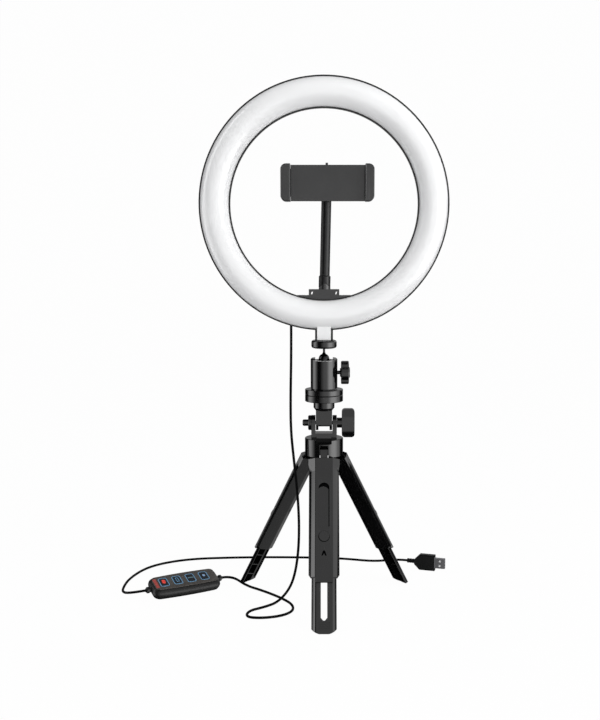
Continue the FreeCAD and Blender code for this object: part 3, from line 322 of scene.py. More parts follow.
ROUTE_TO_REMOTE = [
    (-35.2, 15, 302), (-35.2, 15, 268), (-36.0, 8, 222), (-35.6, -1, 186), (-32.2, -9.5, 156),
    (-28.6, -14.5, 124), (-26.6, -16.5, 92), (-27.2, -16.5, 60), (-30.8, -15, 33), (-37.0, -12.9, 14),
    (-49.4, -20.1, 1.4), (-63, -35, 1.4), (-79.5, -46.5, 1.4), (-81, -64.5, 1.4), (-64, -67.5, 1.4),
    (-43.5, -61, 1.4), (-32, -46.5, 1.4), (-34, -26, 1.4), (-49, -4.5, 1.4), (-70, 17.5, 1.4),
    (-88, 32.5, 1.4), (-105.112, 42.201, 9.7), (-116.066, 36.179, 9.7)]
lead = cord_piece("lead_to_remote", ROUTE_TO_REMOTE)
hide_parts("cord_hanging", "cord_to_remote")
ROUTE_TO_PLUG = [
    (-194.934, -7.179, 9.7), (-206.764, -13.683, 9.7), (-220, -4.5, 6), (-226.5, 24, 1.4), (-225.5, 60, 1.4),
    (-210, 104, 1.4), (-170, 130, 1.4), (-118, 136.5, 1.4), (-67, 138.3, 1.4), (-17, 137, 1.4),
    (23.5, 133, 1.4), (62, 121, 1.4), (85.797, 104.811, 9.5), (100.142, 100.425, 9.5)]
plug_lead = cord_piece("lead_to_plug", ROUTE_TO_PLUG)
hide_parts("cord_to_plug")

# ---------------------------------------------------------------- tripod hub and yoke
# The hub is a moulded nylon drum with three notches for the legs; a moulded yoke stands on it, held by a
# screw from below. Both are satin black with a spark-eroded grain.


def moulded(name, dark, light, rough, coat=0.0, grain=2600.0, relief=0.25, shine=0.5):
    """Moulded plastic: tint clouds, fine grain, and edges that handling has made a little paler."""
    material, tree = node_tree(name)
    place = add(tree, "ShaderNodeTexCoord", (-1100, 0))
    cloudy = add(tree, "ShaderNodeTexNoise", (-900, 200), Scale=42.0, Detail=5.0, Roughness=0.6)
    pores = add(tree, "ShaderNodeTexNoise", (-900, -250), Scale=grain, Detail=2.0)
    worn = add(tree, "ShaderNodeNewGeometry", (-900, 450))
    edge = add(tree, "ShaderNodeMapRange", (-700, 450))
    edge.inputs["From Min"].default_value = 0.53
    edge.inputs["From Max"].default_value = 0.62
    edge.inputs["To Max"].default_value = 0.55
    tint = add(tree, "ShaderNodeValToRGB", (-700, 200))
    tint.color_ramp.elements[0].position = 0.32
    tint.color_ramp.elements[0].color = list(dark) + [1]
    tint.color_ramp.elements[1].position = 0.72
    tint.color_ramp.elements[1].color = list(light) + [1]
    rubbed = add(tree, "ShaderNodeMix", (-400, 300), data_type="RGBA")
    rubbed.inputs["B"].default_value = [min(1, c * 1.7 + 0.006) for c in light] + [1]
    polish = add(tree, "ShaderNodeMapRange", (-400, 0))
    polish.inputs["To Min"].default_value = rough + 0.03
    polish.inputs["To Max"].default_value = rough - 0.03
    bump = add(tree, "ShaderNodeBump", (-400, -250), Strength=relief, Distance=0.00008)
    skin = add(tree, "ShaderNodeBsdfPrincipled", (-100, 0))
    skin.inputs["Coat Weight"].default_value = coat
    skin.inputs["Coat Roughness"].default_value = 0.12
    skin.inputs["Specular IOR Level"].default_value = shine
    out = add(tree, "ShaderNodeOutputMaterial", (200, 0))
    tree.links.new(place.outputs["Object"], cloudy.inputs["Vector"])
    tree.links.new(place.outputs["Object"], pores.inputs["Vector"])
    tree.links.new(worn.outputs["Pointiness"], edge.inputs["Value"])
    tree.links.new(cloudy.outputs["Fac"], tint.inputs["Fac"])
    tree.links.new(tint.outputs["Color"], rubbed.inputs["A"])
    tree.links.new(edge.outputs["Result"], rubbed.inputs["Factor"])
    tree.links.new(cloudy.outputs["Fac"], polish.inputs["Value"])
    tree.links.new(pores.outputs["Fac"], bump.inputs["Height"])
    tree.links.new(rubbed.outputs["Result"], skin.inputs["Base Color"])
    tree.links.new(polish.outputs["Result"], skin.inputs["Roughness"])
    tree.links.new(bump.outputs["Normal"], skin.inputs["Normal"])
    tree.links.new(skin.outputs[0], out.inputs[0])
    return material


DOUBLES_WITHIN = 0.000002
FLAT_WITHIN = 0.4


def dressed(node, material, body, rounding=0.0003, smooth=32, shaping=None):
    """A merged copy of the CAD solid, its edges eased as a mould leaves them, standing for the node."""
    source = frame["nodes"][node]
    piece = source.copy()
    piece.data = source.data.copy()
    piece.name = node + "_moulding"
    piece.parent = None
    for mark in list(piece.keys()):
        del piece[mark]
    bpy.context.collection.objects.link(piece)
    bpy.context.view_layer.objects.active = piece
    piece.select_set(True)
    bpy.ops.mesh.customdata_custom_splitnormals_clear()
    bpy.ops.object.mode_set(mode="EDIT")
    bpy.ops.mesh.select_all(action="SELECT")
    bpy.ops.mesh.remove_doubles(threshold=DOUBLES_WITHIN)
    bpy.ops.mesh.dissolve_limited(angle_limit=math.radians(FLAT_WITHIN))
    bpy.ops.object.mode_set(mode="OBJECT")
    piece.data.materials.clear()
    piece.data.materials.append(material)
    if shaping:
        shaping(piece)
    if rounding:
        ease = piece.modifiers.new("eased_edges", "BEVEL")
        ease.width = rounding
        ease.segments = 2
        ease.limit_method = "ANGLE"
        ease.angle_limit = math.radians(smooth)
        ease.use_clamp_overlap = True
        bpy.ops.object.modifier_apply(modifier=ease.name)
    bpy.ops.object.shade_smooth_by_angle(angle=math.radians(smooth))
    flats = piece.modifiers.new("flats_stay_flat", "WEIGHTED_NORMAL")
    flats.keep_sharp = True
    bpy.ops.object.modifier_apply(modifier=flats.name)
    piece.select_set(False)
    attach(piece, body)
    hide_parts(node)
    return piece


def coat(material, *nodes):
    """The material on CAD nodes that show as they are."""
    for node in nodes:
        target = frame["nodes"][node].data.materials
        target.clear()
        target.append(material)


nylon = moulded("satin_nylon", (0.003, 0.003, 0.0031), (0.0045, 0.0045, 0.0047), 0.1, relief=0.03)
dressed("tripod_hub", nylon, "tripod", 0.0004)
dressed("yoke", nylon, "tripod", 0.0004)


def turned_metal(name, colour, rough, scale=900.0):
    """Machined metal: fine turning marks that break up its shine."""
    material, tree = node_tree(name)
    place = add(tree, "ShaderNodeTexCoord", (-900, 0))
    marks = add(tree, "ShaderNodeTexNoise", (-700, 0), Scale=scale, Detail=3.0)
    soft = add(tree, "ShaderNodeTexNoise", (-700, 250), Scale=60.0, Detail=3.0)
    tint = add(tree, "ShaderNodeValToRGB", (-450, 250))
    tint.color_ramp.elements[0].color = [c * 0.82 for c in colour] + [1]
    tint.color_ramp.elements[1].color = [min(1, c * 1.08) for c in colour] + [1]
    shine = add(tree, "ShaderNodeMapRange", (-450, 0))
    shine.inputs["To Min"].default_value = max(0.04, rough - 0.08)
    shine.inputs["To Max"].default_value = rough + 0.1
    bump = add(tree, "ShaderNodeBump", (-450, -250), Strength=0.1, Distance=0.00005)
    skin = add(tree, "ShaderNodeBsdfPrincipled", (-100, 0), Metallic=1.0)
    out = add(tree, "ShaderNodeOutputMaterial", (200, 0))
    for noise in (marks, soft):
        tree.links.new(place.outputs["Object"], noise.inputs["Vector"])
    tree.links.new(soft.outputs["Fac"], tint.inputs["Fac"])
    tree.links.new(tint.outputs["Color"], skin.inputs["Base Color"])
    tree.links.new(marks.outputs["Fac"], shine.inputs["Value"])
    tree.links.new(shine.outputs["Result"], skin.inputs["Roughness"])
    tree.links.new(marks.outputs["Fac"], bump.inputs["Height"])
    tree.links.new(bump.outputs["Normal"], skin.inputs["Normal"])
    tree.links.new(skin.outputs[0], out.inputs[0])
    return material


steel = turned_metal("zinc_steel", (0.55, 0.55, 0.56), 0.32)
coat(steel, "hub_screw")
blackened = turned_metal("blackened_steel", (0.03, 0.03, 0.031), 0.2)

# ---------------------------------------------------------------- legs
# Each leg is a nylon sleeve hinged to the hub on a steel pin, and a slotted lower leg that slides out of it
# and is freed by a round push button. A leg is shaped in its own frame, where its section's points are (x, y)
# and all its sizes but the widths of rounded edges are in millimetres.
LEG_SPREAD = 28.5
PIVOT_OUT = 0.013
PIN_RADIUS = 0.0015
PIVOT_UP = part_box("leg_hinge_pins")[1][2] - PIN_RADIUS
SLEEVE_RIDGE = (13.3, -2.43)
SLEEVE_CORNER = (15.3, -0.4)
SLEEVE_TURNED = (15.25, 0.7)
SLEEVE_FACE_EDGE = (9.2, -6.6)
SLEEVE_EDGE_ROUND = 0.0012
SLIDE_RIDGE = (11.2, -1.15)
SLIDE_CORNER = (13.0, 0.69)
SLIDE_TURNED = (12.7, 1.7)
SLIDE_FACE_EDGE = (8.69, -3.7)
SLIDE_EDGE_ROUND = 0.001
EDGE_NEAR = 0.06
CORNER_NEAR = 0.08
FACE_NEAR = 0.05
LONG_EDGE = 3
ARROW_ALONG = (-113.1, -107.3)
ARROW_HALF = 2.8
ARROW_DEPTH = (-6.5, -5.2)
POCKETS_ALONG = (-184.6, -90.9)
POCKETS_ACROSS = (4.8, 12.4)
POCKETS_FRONT = -1.5
POCKET_FLOOR = -1.4
RAIL_FLANK = 4.9
RIB_END = 0.3
FACES_IN = -0.1
# painted shade: a matt black put on the sunk arrow, inside the pockets and in the thumb groove, where shade
# falls
painted_shade_black = satin_pvc("painted_shade_matt_black", (0.0015, 0.0015, 0.0016), 0.7, 0.02)


def leg_place(bearing):
    """The leg's own frame: hinge pin at the origin, foot along -Z, face towards -Y."""
    turn = math.radians(bearing)
    pivot = Matrix.Translation((PIVOT_OUT * math.sin(turn), -PIVOT_OUT * math.cos(turn), PIVOT_UP))
    return pivot @ Matrix.Rotation(turn, 4, "Z") @ Matrix.Rotation(math.radians(-LEG_SPREAD), 4, "X")


def rounded_edges(piece, back, corner, width):
    """Rounds the pair of long edges that pass through a corner of the leg's section."""
    spots = [back @ vertex.co * 1000 for vertex in piece.data.vertices]

    def on_corner(spot):
        return abs(abs(spot.x) - corner[0]) < EDGE_NEAR and abs(spot.y - corner[1]) < EDGE_NEAR

    for edge in piece.data.edges:
        one, two = (spots[i] for i in edge.vertices)
        edge.select = abs(one.z - two.z) > LONG_EDGE and on_corner(one) and on_corner(two)
    bpy.ops.object.mode_set(mode="EDIT")
    bpy.ops.mesh.select_mode(type="EDGE")
    bpy.ops.mesh.bevel(offset=width, segments=4, affect="EDGES", clamp_overlap=True)
    bpy.ops.object.mode_set(mode="OBJECT")


def two_facets(piece, place, back, ridge, corner, moved):
    """Parts each flank along its ridge and turns its outer facet further round."""
    turn = place.to_3x3()
    for sign in (1, -1):
        along = Vector((sign * (corner[0] - ridge[0]), corner[1] - ridge[1], 0)).normalized()
        on_ridge = place @ (Vector((sign * ridge[0], ridge[1], 0)) / 1000)
        bpy.ops.object.mode_set(mode="EDIT")
        bpy.ops.mesh.select_all(action="SELECT")
        bpy.ops.mesh.bisect(plane_co=on_ridge, plane_no=turn @ along)
        bpy.ops.object.mode_set(mode="OBJECT")
    for vertex in piece.data.vertices:
        spot = back @ vertex.co * 1000
        if abs(abs(spot.x) - corner[0]) < CORNER_NEAR and abs(spot.y - corner[1]) < CORNER_NEAR:
            sign = 1 if spot.x > 0 else -1
            vertex.co = place @ (Vector((sign * moved[0], moved[1], spot.z)) / 1000)


def paint_shade_on_faces(piece, back, wanted):
    """Paints shade: gives the matt black of painted shade to the faces for which wanted(centre, normal) is
    true, in the leg's frame.
    """
    piece.data.materials.append(painted_shade_black)
    turn = back.to_3x3()
    for face in piece.data.polygons:
        if wanted(back @ face.center * 1000, turn @ face.normal):
            face.material_index = 1


def within(value, limits):
    """True between the two limits."""
    return limits[0] < value < limits[1]


def in_arrow_shade(centre, normal):
    """The faces of the sunk arrow, painted black as the shade in its depth."""
    return within(centre.z, ARROW_ALONG) and abs(centre.x) < ARROW_HALF and within(centre.y, ARROW_DEPTH)


def in_pocket_shade(centre, normal):
    """The pockets' floors and the flanks that face the leg's middle, but not the ribs' ends: painted black as
    the shade inside the pockets.
    """
    if not (within(centre.z, POCKETS_ALONG) and within(abs(centre.x), POCKETS_ACROSS)):
        return False
    if centre.y <= POCKETS_FRONT or abs(normal.z) >= RIB_END:
        return False
    inward = normal.x * (1 if centre.x > 0 else -1)
    on_floor = abs(centre.y - POCKET_FLOOR) < FACE_NEAR
    on_rail = abs(abs(centre.x) - RAIL_FLANK) < FACE_NEAR
    return on_floor or on_rail or inward < FACES_IN


def carved(piece, tool):
    """Cuts the tool's shape out of the piece and takes the tool away."""
    cut = piece.modifiers.new("cut", "BOOLEAN")
    cut.object = tool
    cut.operation = "DIFFERENCE"
    cut.solver = "EXACT"
    bpy.context.view_layer.objects.active = piece
    bpy.ops.object.modifier_apply(modifier=cut.name)
    bpy.data.objects.remove(tool, do_unlink=True)


# painted shade in the thumb groove: a thin matt black sheet on its floor, where its deep upper end and its
# edge fall in shade, in metres
GROOVE_FLOOR = -0.0051
SHADE_SHEET_THICK = 0.0003
SHADE_DISC_RADIUS = 0.0056
SHADE_DISC_UP = -0.0421
BITE_RADIUS = 0.0062
BITE_DEEP = 0.002
BITE_ASIDE = -0.0008
BITE_UP = -0.0463
SHADE_ASIDE = 0.0051
SHADE_UP = -0.0622
SHADE_WIDE = 0.0009
SHADE_LONG = 0.0404
LYING = (math.radians(90), 0, 0)

for side, bearing in (("front", 0), ("right", 120), ("left", 240)):
    place = leg_place(bearing)
    back = place.inverted()

    def sleeve_shape(piece):
        paint_shade_on_faces(piece, back, in_arrow_shade)
        two_facets(piece, place, back, SLEEVE_RIDGE, SLEEVE_CORNER, SLEEVE_TURNED)
        rounded_edges(piece, back, SLEEVE_FACE_EDGE, SLEEVE_EDGE_ROUND)

    def slide_shape(piece):
        paint_shade_on_faces(piece, back, in_pocket_shade)
        two_facets(piece, place, back, SLIDE_RIDGE, SLIDE_CORNER, SLIDE_TURNED)
        rounded_edges(piece, back, SLIDE_FACE_EDGE, SLIDE_EDGE_ROUND)

    dressed("leg_sleeve_" + side, nylon, "leg_" + side, 0.0003, shaping=sleeve_shape)
    dressed("leg_slide_" + side, nylon, "foot_" + side, 0.00015, shaping=slide_shape)
    dressed("leg_button_" + side, nylon, "button_" + side, 0.0004)

    # painted shade: a matt black crescent and strip laid on the groove's floor, for the shade of its deep
    # upper end and of its edge
    bpy.ops.mesh.primitive_cylinder_add(vertices=48, radius=SHADE_DISC_RADIUS, depth=SHADE_SHEET_THICK, rotation=LYING,
                                        location=(0, GROOVE_FLOOR, SHADE_DISC_UP))
    groove_shade_sheet = bpy.context.object
    bpy.ops.mesh.primitive_cylinder_add(vertices=64, radius=BITE_RADIUS, depth=BITE_DEEP, rotation=LYING,
                                        location=(BITE_ASIDE, GROOVE_FLOOR, BITE_UP))
    carved(groove_shade_sheet, bpy.context.object)
    bpy.ops.mesh.primitive_cube_add(size=1, location=(SHADE_ASIDE, GROOVE_FLOOR, SHADE_UP),
                                    scale=(SHADE_WIDE, SHADE_SHEET_THICK, SHADE_LONG))
    strip = bpy.context.object
    bpy.ops.object.select_all(action="DESELECT")
    groove_shade_sheet.select_set(True)
    strip.select_set(True)
    bpy.context.view_layer.objects.active = groove_shade_sheet
    bpy.ops.object.join()
    groove_shade_sheet.name = "groove_painted_shade_" + side
    bpy.ops.object.transform_apply(location=True, rotation=True, scale=True)
    groove_shade_sheet.data.transform(place)
    groove_shade_sheet.data.materials.append(painted_shade_black)
    groove_shade_sheet.select_set(False)
    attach(groove_shade_sheet, "leg_" + side)
coat(blackened, "leg_hinge_pins")

# ---------------------------------------------------------------- tilt joint
# A blackened bolt clamps the head's tongue between the yoke's arms, tightened by a moulded wing knob with a
# nut in it. The tongue's disc is black anodised alloy.
dressed("tilt_bolt", nylon, "tripod", 0.0002)
dressed("tilt_knob", nylon, "tilt_grip", 0.0005)
coat(steel, "tilt_knob_nut", "head_stud")
alloy = moulded("black_anodised", (0.004, 0.004, 0.0042), (0.006, 0.006, 0.0063), 0.12, grain=3600.0,
                relief=0.03)
dressed("tilt_block", alloy, "tilt_head", 0.0003)

# ---------------------------------------------------------------- ball head
# A polished black cup holds the ball, gripped from the side by a pad and a fluted lock knob. A round nut
# under the ring's neck locks the ring to the stem.
gloss = moulded("gloss_black", (0.003, 0.003, 0.0031), (0.005, 0.005, 0.0052), 0.07, grain=900.0, relief=0.02)
dressed("ball_head_base", alloy, "tilt_head", 0.0003)
# painted highlight: a pale white on the housing's top, where its rim shines
rim_highlight_white = moulded("painted_rim_highlight", (0.62, 0.62, 0.62), (0.7, 0.7, 0.7), 0.35, relief=0.05)
CASE_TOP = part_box("ball_housing")[1][2]
CHANNEL_SIZE = (0.0188, 0.04, 0.006)
CHANNEL_UP = 0.0007
HIGHLIGHT_LOWEST = 0.0026
HIGHLIGHT_HIGHEST = 0.002


def paint_rim_highlight(piece):
    """Cuts a channel across the housing's top and paints the floor round the ball pale: a painted highlight
    of the rim's shine.
    """
    bpy.ops.mesh.primitive_cube_add(size=1, location=(0, 0, CASE_TOP + CHANNEL_UP), scale=CHANNEL_SIZE)
    carved(piece, bpy.context.object)
    piece.select_set(True)
    piece.data.materials.append(rim_highlight_white)
    for face in piece.data.polygons:
        if CASE_TOP - HIGHLIGHT_LOWEST < face.center.z < CASE_TOP - HIGHLIGHT_HIGHEST and face.normal.z > 0.5:
            face.material_index = 1


dressed("ball_housing", gloss, "tilt_head", 0.0002, shaping=paint_rim_highlight)
dressed("ball_lock_knob", nylon, "ball_lock", 0.0004)
coat(nylon, "clamp_pad", "ball_cup")
coat(blackened, "ball_lock_screw")
plated = turned_metal("nickel_plate", (0.5, 0.5, 0.52), 0.16)
BALL_UP = next(joint["pos_m"][2] for joint in frame["joints"] if joint["name"] == "ball_tilt")
WAIST_CUTS = (0.0085, 0.0105, 0.0125)
WAIST_ALONG = (0.0079, 0.0128)
WAIST_SHARE = 0.62
STEM_REACH = 0.0022
STEM_ROOT = 0.0015
SHOULDER_TOP = 0.0069
SHOULDER_LOW = 0.001
SHOULDER_TALL = 0.0061
SHOULDER_RADIUS = 0.0057
SHOULDER_POWER = 2.4


def waisted(piece):
    """Thins the stem between the ball and the nut, and draws the ball's upper half in."""
    bpy.ops.object.mode_set(mode="EDIT")
    for up in WAIST_CUTS:
        bpy.ops.mesh.select_all(action="SELECT")
        bpy.ops.mesh.bisect(plane_co=(0, 0, BALL_UP + up), plane_no=(0, 0, 1))
    bpy.ops.object.mode_set(mode="OBJECT")
    for corner in piece.data.vertices:
        up, out = corner.co.z - BALL_UP, math.hypot(*corner.co.xy)
        if within(up, WAIST_ALONG) and out < STEM_REACH:
            corner.co.x *= WAIST_SHARE
            corner.co.y *= WAIST_SHARE
        elif 0 < up < SHOULDER_TOP and out > STEM_ROOT:
            share = (max(0, up - SHOULDER_LOW) / SHOULDER_TALL) ** SHOULDER_POWER
            wanted = SHOULDER_RADIUS * math.sqrt(1 - share)
            corner.co.x *= max(wanted, STEM_ROOT) / out
            corner.co.y *= max(wanted, STEM_ROOT) / out


dressed("ball_stud", blackened, "stem", 0.0001, shaping=waisted)
dressed("lock_nut", nylon, "nut", 0.0004)

# ---------------------------------------------------------------- ring
# The lit side is an opal diffuser moulded as a bowed ring, snapped into a black ring housing whose rims show
# as thin lines. The neck is part of the housing, with a pale tab of the diffuser down its front.


def opal(name):
    """Opal acrylic: bright, faintly cloudy, with a soft shine."""
    material, tree = node_tree(name)
    place = add(tree, "ShaderNodeTexCoord", (-900, 0))
    cloudy = add(tree, "ShaderNodeTexNoise", (-700, 100), Scale=24.0, Detail=3.0)
    waves = add(tree, "ShaderNodeTexNoise", (-700, -200), Scale=160.0, Detail=2.0)
    tint = add(tree, "ShaderNodeValToRGB", (-450, 100))
    tint.color_ramp.elements[0].color = (0.85, 0.85, 0.85, 1)
    tint.color_ramp.elements[1].color = (0.89, 0.89, 0.89, 1)
    bump = add(tree, "ShaderNodeBump", (-450, -200), Strength=0.04, Distance=0.0002)
    skin = add(tree, "ShaderNodeBsdfPrincipled", (-100, 0), Roughness=0.24)
    skin.inputs["Coat Weight"].default_value = 0.3
    skin.inputs["Coat Roughness"].default_value = 0.1
    out = add(tree, "ShaderNodeOutputMaterial", (200, 0))
    for noise in (cloudy, waves):
        tree.links.new(place.outputs["Object"], noise.inputs["Vector"])
    tree.links.new(cloudy.outputs["Fac"], tint.inputs["Fac"])
    tree.links.new(tint.outputs["Color"], skin.inputs["Base Color"])
    tree.links.new(waves.outputs["Fac"], bump.inputs["Height"])
    tree.links.new(bump.outputs["Normal"], skin.inputs["Normal"])
    tree.links.new(skin.outputs[0], out.inputs[0])
    return material


abs_black = moulded("satin_abs", (0.018, 0.018, 0.0183), (0.022, 0.022, 0.0224), 0.2, relief=0.05)
rim_black = moulded("rim_black", (0.005, 0.005, 0.0051), (0.007, 0.007, 0.0071), 0.3, relief=0.04, shine=0.3)
diffuser = opal("opal_acrylic")
dressed("ring_diffuser", diffuser, "ring", 0, 30)
dressed("ring_back_housing", rim_black, "ring", 0.0002, 30)
rubber = satin_pvc("soft_rubber", (0.006, 0.006, 0.0063), 0.3)
dressed("cord_outlet_boot", rubber, "ring", 0.0002)
board_green = moulded("circuit_board", (0.01, 0.08, 0.03), (0.02, 0.12, 0.05), 0.35, grain=700.0)
phosphor = moulded("phosphor", (0.75, 0.65, 0.25), (0.85, 0.78, 0.4), 0.4, grain=1500.0)
brass = turned_metal("brass", (0.72, 0.52, 0.22), 0.3)
coat(board_green, "led_board", "remote_board")
coat(phosphor, "led_chips")
coat(steel, "housing_screws", "bracket_screws")
coat(brass, "neck_insert")

# ---------------------------------------------------------------- phone holder
# A moulded bracket sits on the ring's inner rim and carries a gooseneck, with a spring clamp for a phone
# at its top. The jaws have rubber pads.
dressed("holder_bracket", abs_black, "ring", 0.0003)
dressed("neck_socket", abs_black, "neck_foot", 0.0002)
dressed("gooseneck", rubber, "neck", 0.0002)
dressed("clamp_swivel", abs_black, "swivel", 0.0003)
dressed("clamp_body", abs_black, "clamp", 0.0004)
dressed("clamp_sliding_jaw", abs_black, "jaw", 0.0004)
dressed("fixed_jaw_pad", rubber, "clamp", 0.0003)
dressed("sliding_jaw_pad", rubber, "jaw", 0.0003)
coat(steel, "clamp_pivot_pin")
coat(plated, "clamp_guide_rods")

# ---------------------------------------------------------------- remote
# A slim casing in two halves with four silicone keys, each in a frame given a painted glow, and a red window
# over the pilot lamp at its left end.
remote_grey = moulded("remote_casing", (0.006, 0.006, 0.0062), (0.009, 0.0088, 0.0086), 0.42, relief=0.05,
                      shine=0.28)
remote_face = moulded("remote_face", (0.050, 0.045, 0.041), (0.062, 0.056, 0.051), 0.42, grain=1800.0,
                      relief=0.08)
REMOTE_MID = Vector((-0.1555, 0.0145, 0.0097))
REMOTE_TURN = Matrix.Rotation(math.radians(28.8), 4, "Z") @ Matrix.Rotation(math.radians(17), 4, "X")
REMOTE_PLACE = Matrix.Translation(REMOTE_MID) @ REMOTE_TURN
FACE_UP = 0.0069
BULGE = 0.1
CASING_RISES = (
    (0.0007, 0.0012), (0.0012, 0.0011), (0.0026, 0.0009), (0.0024, 0.0004), (0.0024, -0.0003),
    (0.0016, -0.0007), (0.0012, -0.0011), (0.0008, -0.0012), (0.0003, -0.001))
PANEL_RISES = ((0.0005, 0), (0.0002, -0.0002))
KEYS = (("power", -0.0246), ("colour", -0.009), ("brighter", 0.0066), ("dimmer", 0.0222))
KEY_WELL = (0.00415, 0.00675, 0.0016, 0.0015)
WINDOW_WELL = (0.0019, 0.0084, 0, 0.0045)
WINDOW_AT = -0.0334
WELL_TOP = 0.02
UPRIGHT_EDGE = 0.001
BOW_STEPS = 4.6


def barrel(spot, half_x):
    """How far a barrel-sided outline stands out at this place along the casing."""
    return spot.y * (1 + BULGE * (1 - (spot.x / half_x) ** 2))


def flat_blank(name, half_x, half_y):
    """A rectangle of these half sizes, left in edit mode with all of it selected."""
    bpy.ops.mesh.primitive_plane_add(size=2)
    blank = bpy.context.object
    blank.name = name
    for spot in blank.data.vertices:
        spot.co.x *= half_x
        spot.co.y *= half_y
    bpy.ops.object.mode_set(mode="EDIT")
    bpy.ops.mesh.select_all(action="SELECT")
    return blank


def lozenge(name, half_x, half_y, corner, low, rises, material):
    """A barrel-sided block with rounded corners, built up in steps of (height, spread), in metres."""
    block = flat_blank(name, half_x, half_y)
    bpy.ops.mesh.bevel(offset=corner, segments=6, affect="VERTICES")
    for cut in range(-3, 4):
        bpy.ops.mesh.select_all(action="SELECT")
        bpy.ops.mesh.bisect(plane_co=(cut * half_x / BOW_STEPS, 0, 0), plane_no=(1, 0, 0))
    bpy.ops.object.mode_set(mode="OBJECT")
    for spot in block.data.vertices:
        spot.co.y = barrel(spot.co, half_x)
    bpy.ops.object.mode_set(mode="EDIT")
    bpy.ops.mesh.select_all(action="SELECT")
    bpy.ops.mesh.dissolve_limited(angle_limit=0.01)
    bpy.ops.mesh.select_all(action="SELECT")
    for rise, spread in rises:
        wider = (1 + spread / half_x, 1 + spread / half_y, 1)
        bpy.ops.mesh.extrude_region_move(TRANSFORM_OT_translate={"value": (0, 0, rise)})
        bpy.ops.transform.resize(value=wider, center_override=(0, 0, 0))
    bpy.ops.mesh.select_all(action="SELECT")
    bpy.ops.mesh.normals_make_consistent(inside=False)
    bpy.ops.object.mode_set(mode="OBJECT")
    block.data.transform(Matrix.Translation((0, 0, low)))
    block.data.materials.append(material)
    return block


def cut_out(block, half_x, half_y, corner, low, along):
    """Cuts a well down into the block, with rounded corners unless corner is 0."""
    bpy.ops.mesh.primitive_cube_add(size=2)
    tool = bpy.context.object
    for spot in tool.data.vertices:
        height = low if spot.co.z < 0 else WELL_TOP
        spot.co = Vector((spot.co.x * half_x + along, spot.co.y * half_y, height))
    if corner:
        bpy.ops.object.mode_set(mode="EDIT")
        bpy.ops.mesh.select_mode(type="EDGE")
        bpy.ops.mesh.select_all(action="DESELECT")
        bpy.ops.object.mode_set(mode="OBJECT")
        for edge in tool.data.edges:
            one, two = (tool.data.vertices[i].co for i in edge.vertices)
            edge.select = abs(one.z - two.z) > UPRIGHT_EDGE
        bpy.ops.object.mode_set(mode="EDIT")
        bpy.ops.mesh.bevel(offset=corner, segments=4, affect="EDGES")
        bpy.ops.object.mode_set(mode="OBJECT")
    carved(block, tool)


casing = lozenge("remote_casing", half_x=0.0355, half_y=0.0108, corner=0.0055, low=-0.0066,
                 rises=CASING_RISES, material=remote_grey)
panel = lozenge("remote_face_panel", half_x=0.0362, half_y=0.0114, corner=0.0045, low=0.0062,
                rises=PANEL_RISES, material=remote_face)
for piece in (casing, panel):
    for key, along in KEYS:
        cut_out(piece, *KEY_WELL, along)
    cut_out(piece, *WINDOW_WELL, WINDOW_AT)
    bpy.ops.object.select_all(action="DESELECT")
    piece.select_set(True)
    bpy.context.view_layer.objects.active = piece
    bpy.ops.object.shade_smooth_by_angle(angle=math.radians(38))
    piece.data.transform(REMOTE_PLACE)
    piece.select_set(False)
    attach(piece, "tripod")
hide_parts("remote_lower_shell")
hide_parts("remote_top_shell")
dressed("remote_reliefs", rubber, "tripod", 0.0002)


def painted_glow(name, colour, strength):
    """A translucent light guide with a painted glow: its faintly cloudy tint is also given off as light."""
    material, tree = node_tree(name)
    place = add(tree, "ShaderNodeTexCoord")
    cloudy = add(tree, "ShaderNodeTexNoise", Scale=300.0, Detail=2.0)
    tint = add(tree, "ShaderNodeValToRGB")
    tint.color_ramp.elements[0].color = [c * 0.82 for c in colour] + [1]
    tint.color_ramp.elements[1].color = [min(1, c * 1.15) for c in colour] + [1]
    skin = add(tree, "ShaderNodeBsdfPrincipled", Roughness=0.35)
    skin.inputs["Emission Strength"].default_value = strength
    out = add(tree, "ShaderNodeOutputMaterial")
    tree.links.new(place.outputs["Object"], cloudy.inputs["Vector"])
    tree.links.new(cloudy.outputs["Fac"], tint.inputs["Fac"])
    tree.links.new(tint.outputs["Color"], skin.inputs["Base Color"])
    tree.links.new(tint.outputs["Color"], skin.inputs["Emission Color"])
    tree.links.new(skin.outputs[0], out.inputs[0])
    return material


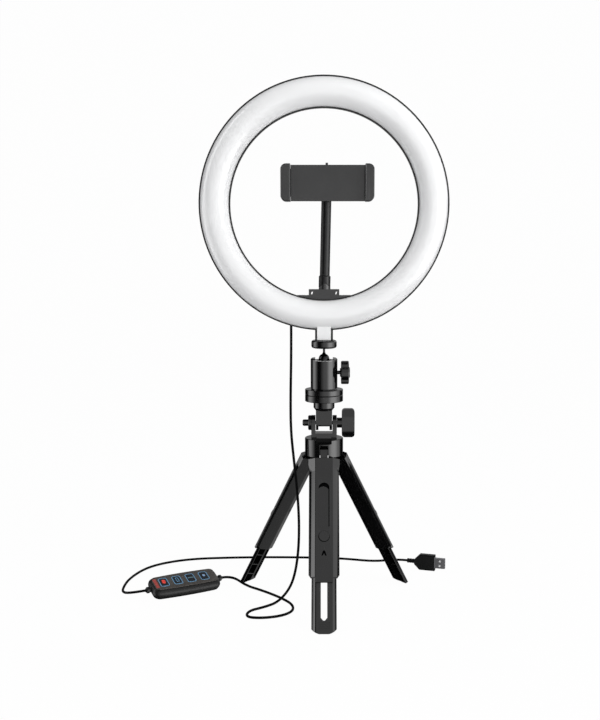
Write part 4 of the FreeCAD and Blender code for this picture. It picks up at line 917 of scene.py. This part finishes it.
silicone = moulded("silicone_key", (0.006, 0.008, 0.012), (0.009, 0.012, 0.018), 0.42, grain=1800.0,
                   relief=0.1)
# painted glow: the key frames and marks give off their own colour as light
blue_glow = painted_glow("blue_painted_glow", (0.12, 0.26, 0.41), 0.3)
dim_glow = painted_glow("dim_painted_glow", (0.1, 0.17, 0.2), 0.2)
pale_glow = painted_glow("pale_painted_glow", (0.2, 0.32, 0.5), 0.25)
red_glow = painted_glow("red_painted_glow", (0.62, 0.045, 0.03), 0.3)
PLATE_SUNK = 0.0001
PLATE_PROUD = 0.0002
PLATE_EASE = 0.00008
KEY_TOP = FACE_UP + 0.0005
KEY_FRAME = (0.0050, 0.0076, 0.0024, 0.0008)
KEY_MARKS = (
    ("power_dot", (0.0019, 0.0034, 0.0018, 0), (-0.0246, 0.0004), red_glow, "key_power"),
    ("colour_mark", (0.0015, 0.0036, 0.0006, 0.0005), (-0.009, 0), blue_glow, "key_colour"),
    ("brighter_bar", (0.0033, 0.0008, 0.0002, 0), (0.0066, 0), dim_glow, "key_brighter"),
    ("dimmer_mark", (0.0014, 0.0017, 0.0004, 0), (0.0222, 0), pale_glow, "key_dimmer"))


def ring_plate(name, half_x, half_y, corner, wall, level, middle, material, body):
    """A flat rounded frame, or a plate where wall is 0, let into the remote's face at this level. Metres."""
    plate = flat_blank(name, half_x, half_y)
    if corner:
        bpy.ops.mesh.bevel(offset=corner, segments=5, affect="VERTICES")
    if wall:
        bpy.ops.mesh.select_all(action="SELECT")
        bpy.ops.mesh.inset(thickness=wall)
        bpy.ops.mesh.delete(type="FACE")
        bpy.ops.mesh.select_all(action="SELECT")
    low, high = level - PLATE_SUNK, level + PLATE_PROUD
    bpy.ops.mesh.extrude_region_move(TRANSFORM_OT_translate={"value": (0, 0, high - low)})
    bpy.ops.mesh.select_all(action="SELECT")
    bpy.ops.mesh.normals_make_consistent(inside=False)
    bpy.ops.object.mode_set(mode="OBJECT")
    ease = plate.modifiers.new("eased", "BEVEL")
    ease.width = PLATE_EASE
    ease.segments = 2
    bpy.ops.object.modifier_apply(modifier=ease.name)
    plate.data.transform(REMOTE_PLACE @ Matrix.Translation((middle[0], middle[1], low)))
    plate.data.materials.append(material)
    plate.select_set(False)
    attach(plate, body)


for key, along in KEYS:
    dressed("remote_key_" + key, silicone, "key_" + key, 0.0003)
    ring_plate("key_frame_" + key, *KEY_FRAME, FACE_UP, (along, 0), blue_glow, "tripod")
for name, sizes, middle, material, body in KEY_MARKS:
    ring_plate(name, *sizes, KEY_TOP, middle, material, body)
red = moulded("red_window", (0.26, 0.035, 0.03), (0.34, 0.05, 0.04), 0.25, coat=0.3, grain=900.0,
              relief=0.05)
dressed("remote_window", red, "tripod", 0.0002)

# ---------------------------------------------------------------- plug
# The USB plug lies on its narrow edge: a moulded grip on a folded steel shell round a white tongue.
overmould = dressed("plug_overmould", rubber, "tripod", 0.0004)
shell = dressed("plug_shell", plated, "tripod", 0.0001)
tongue_white = moulded("tongue_nylon", (0.7, 0.7, 0.68), (0.8, 0.8, 0.78), 0.4)
coat(tongue_white, "plug_tongue")
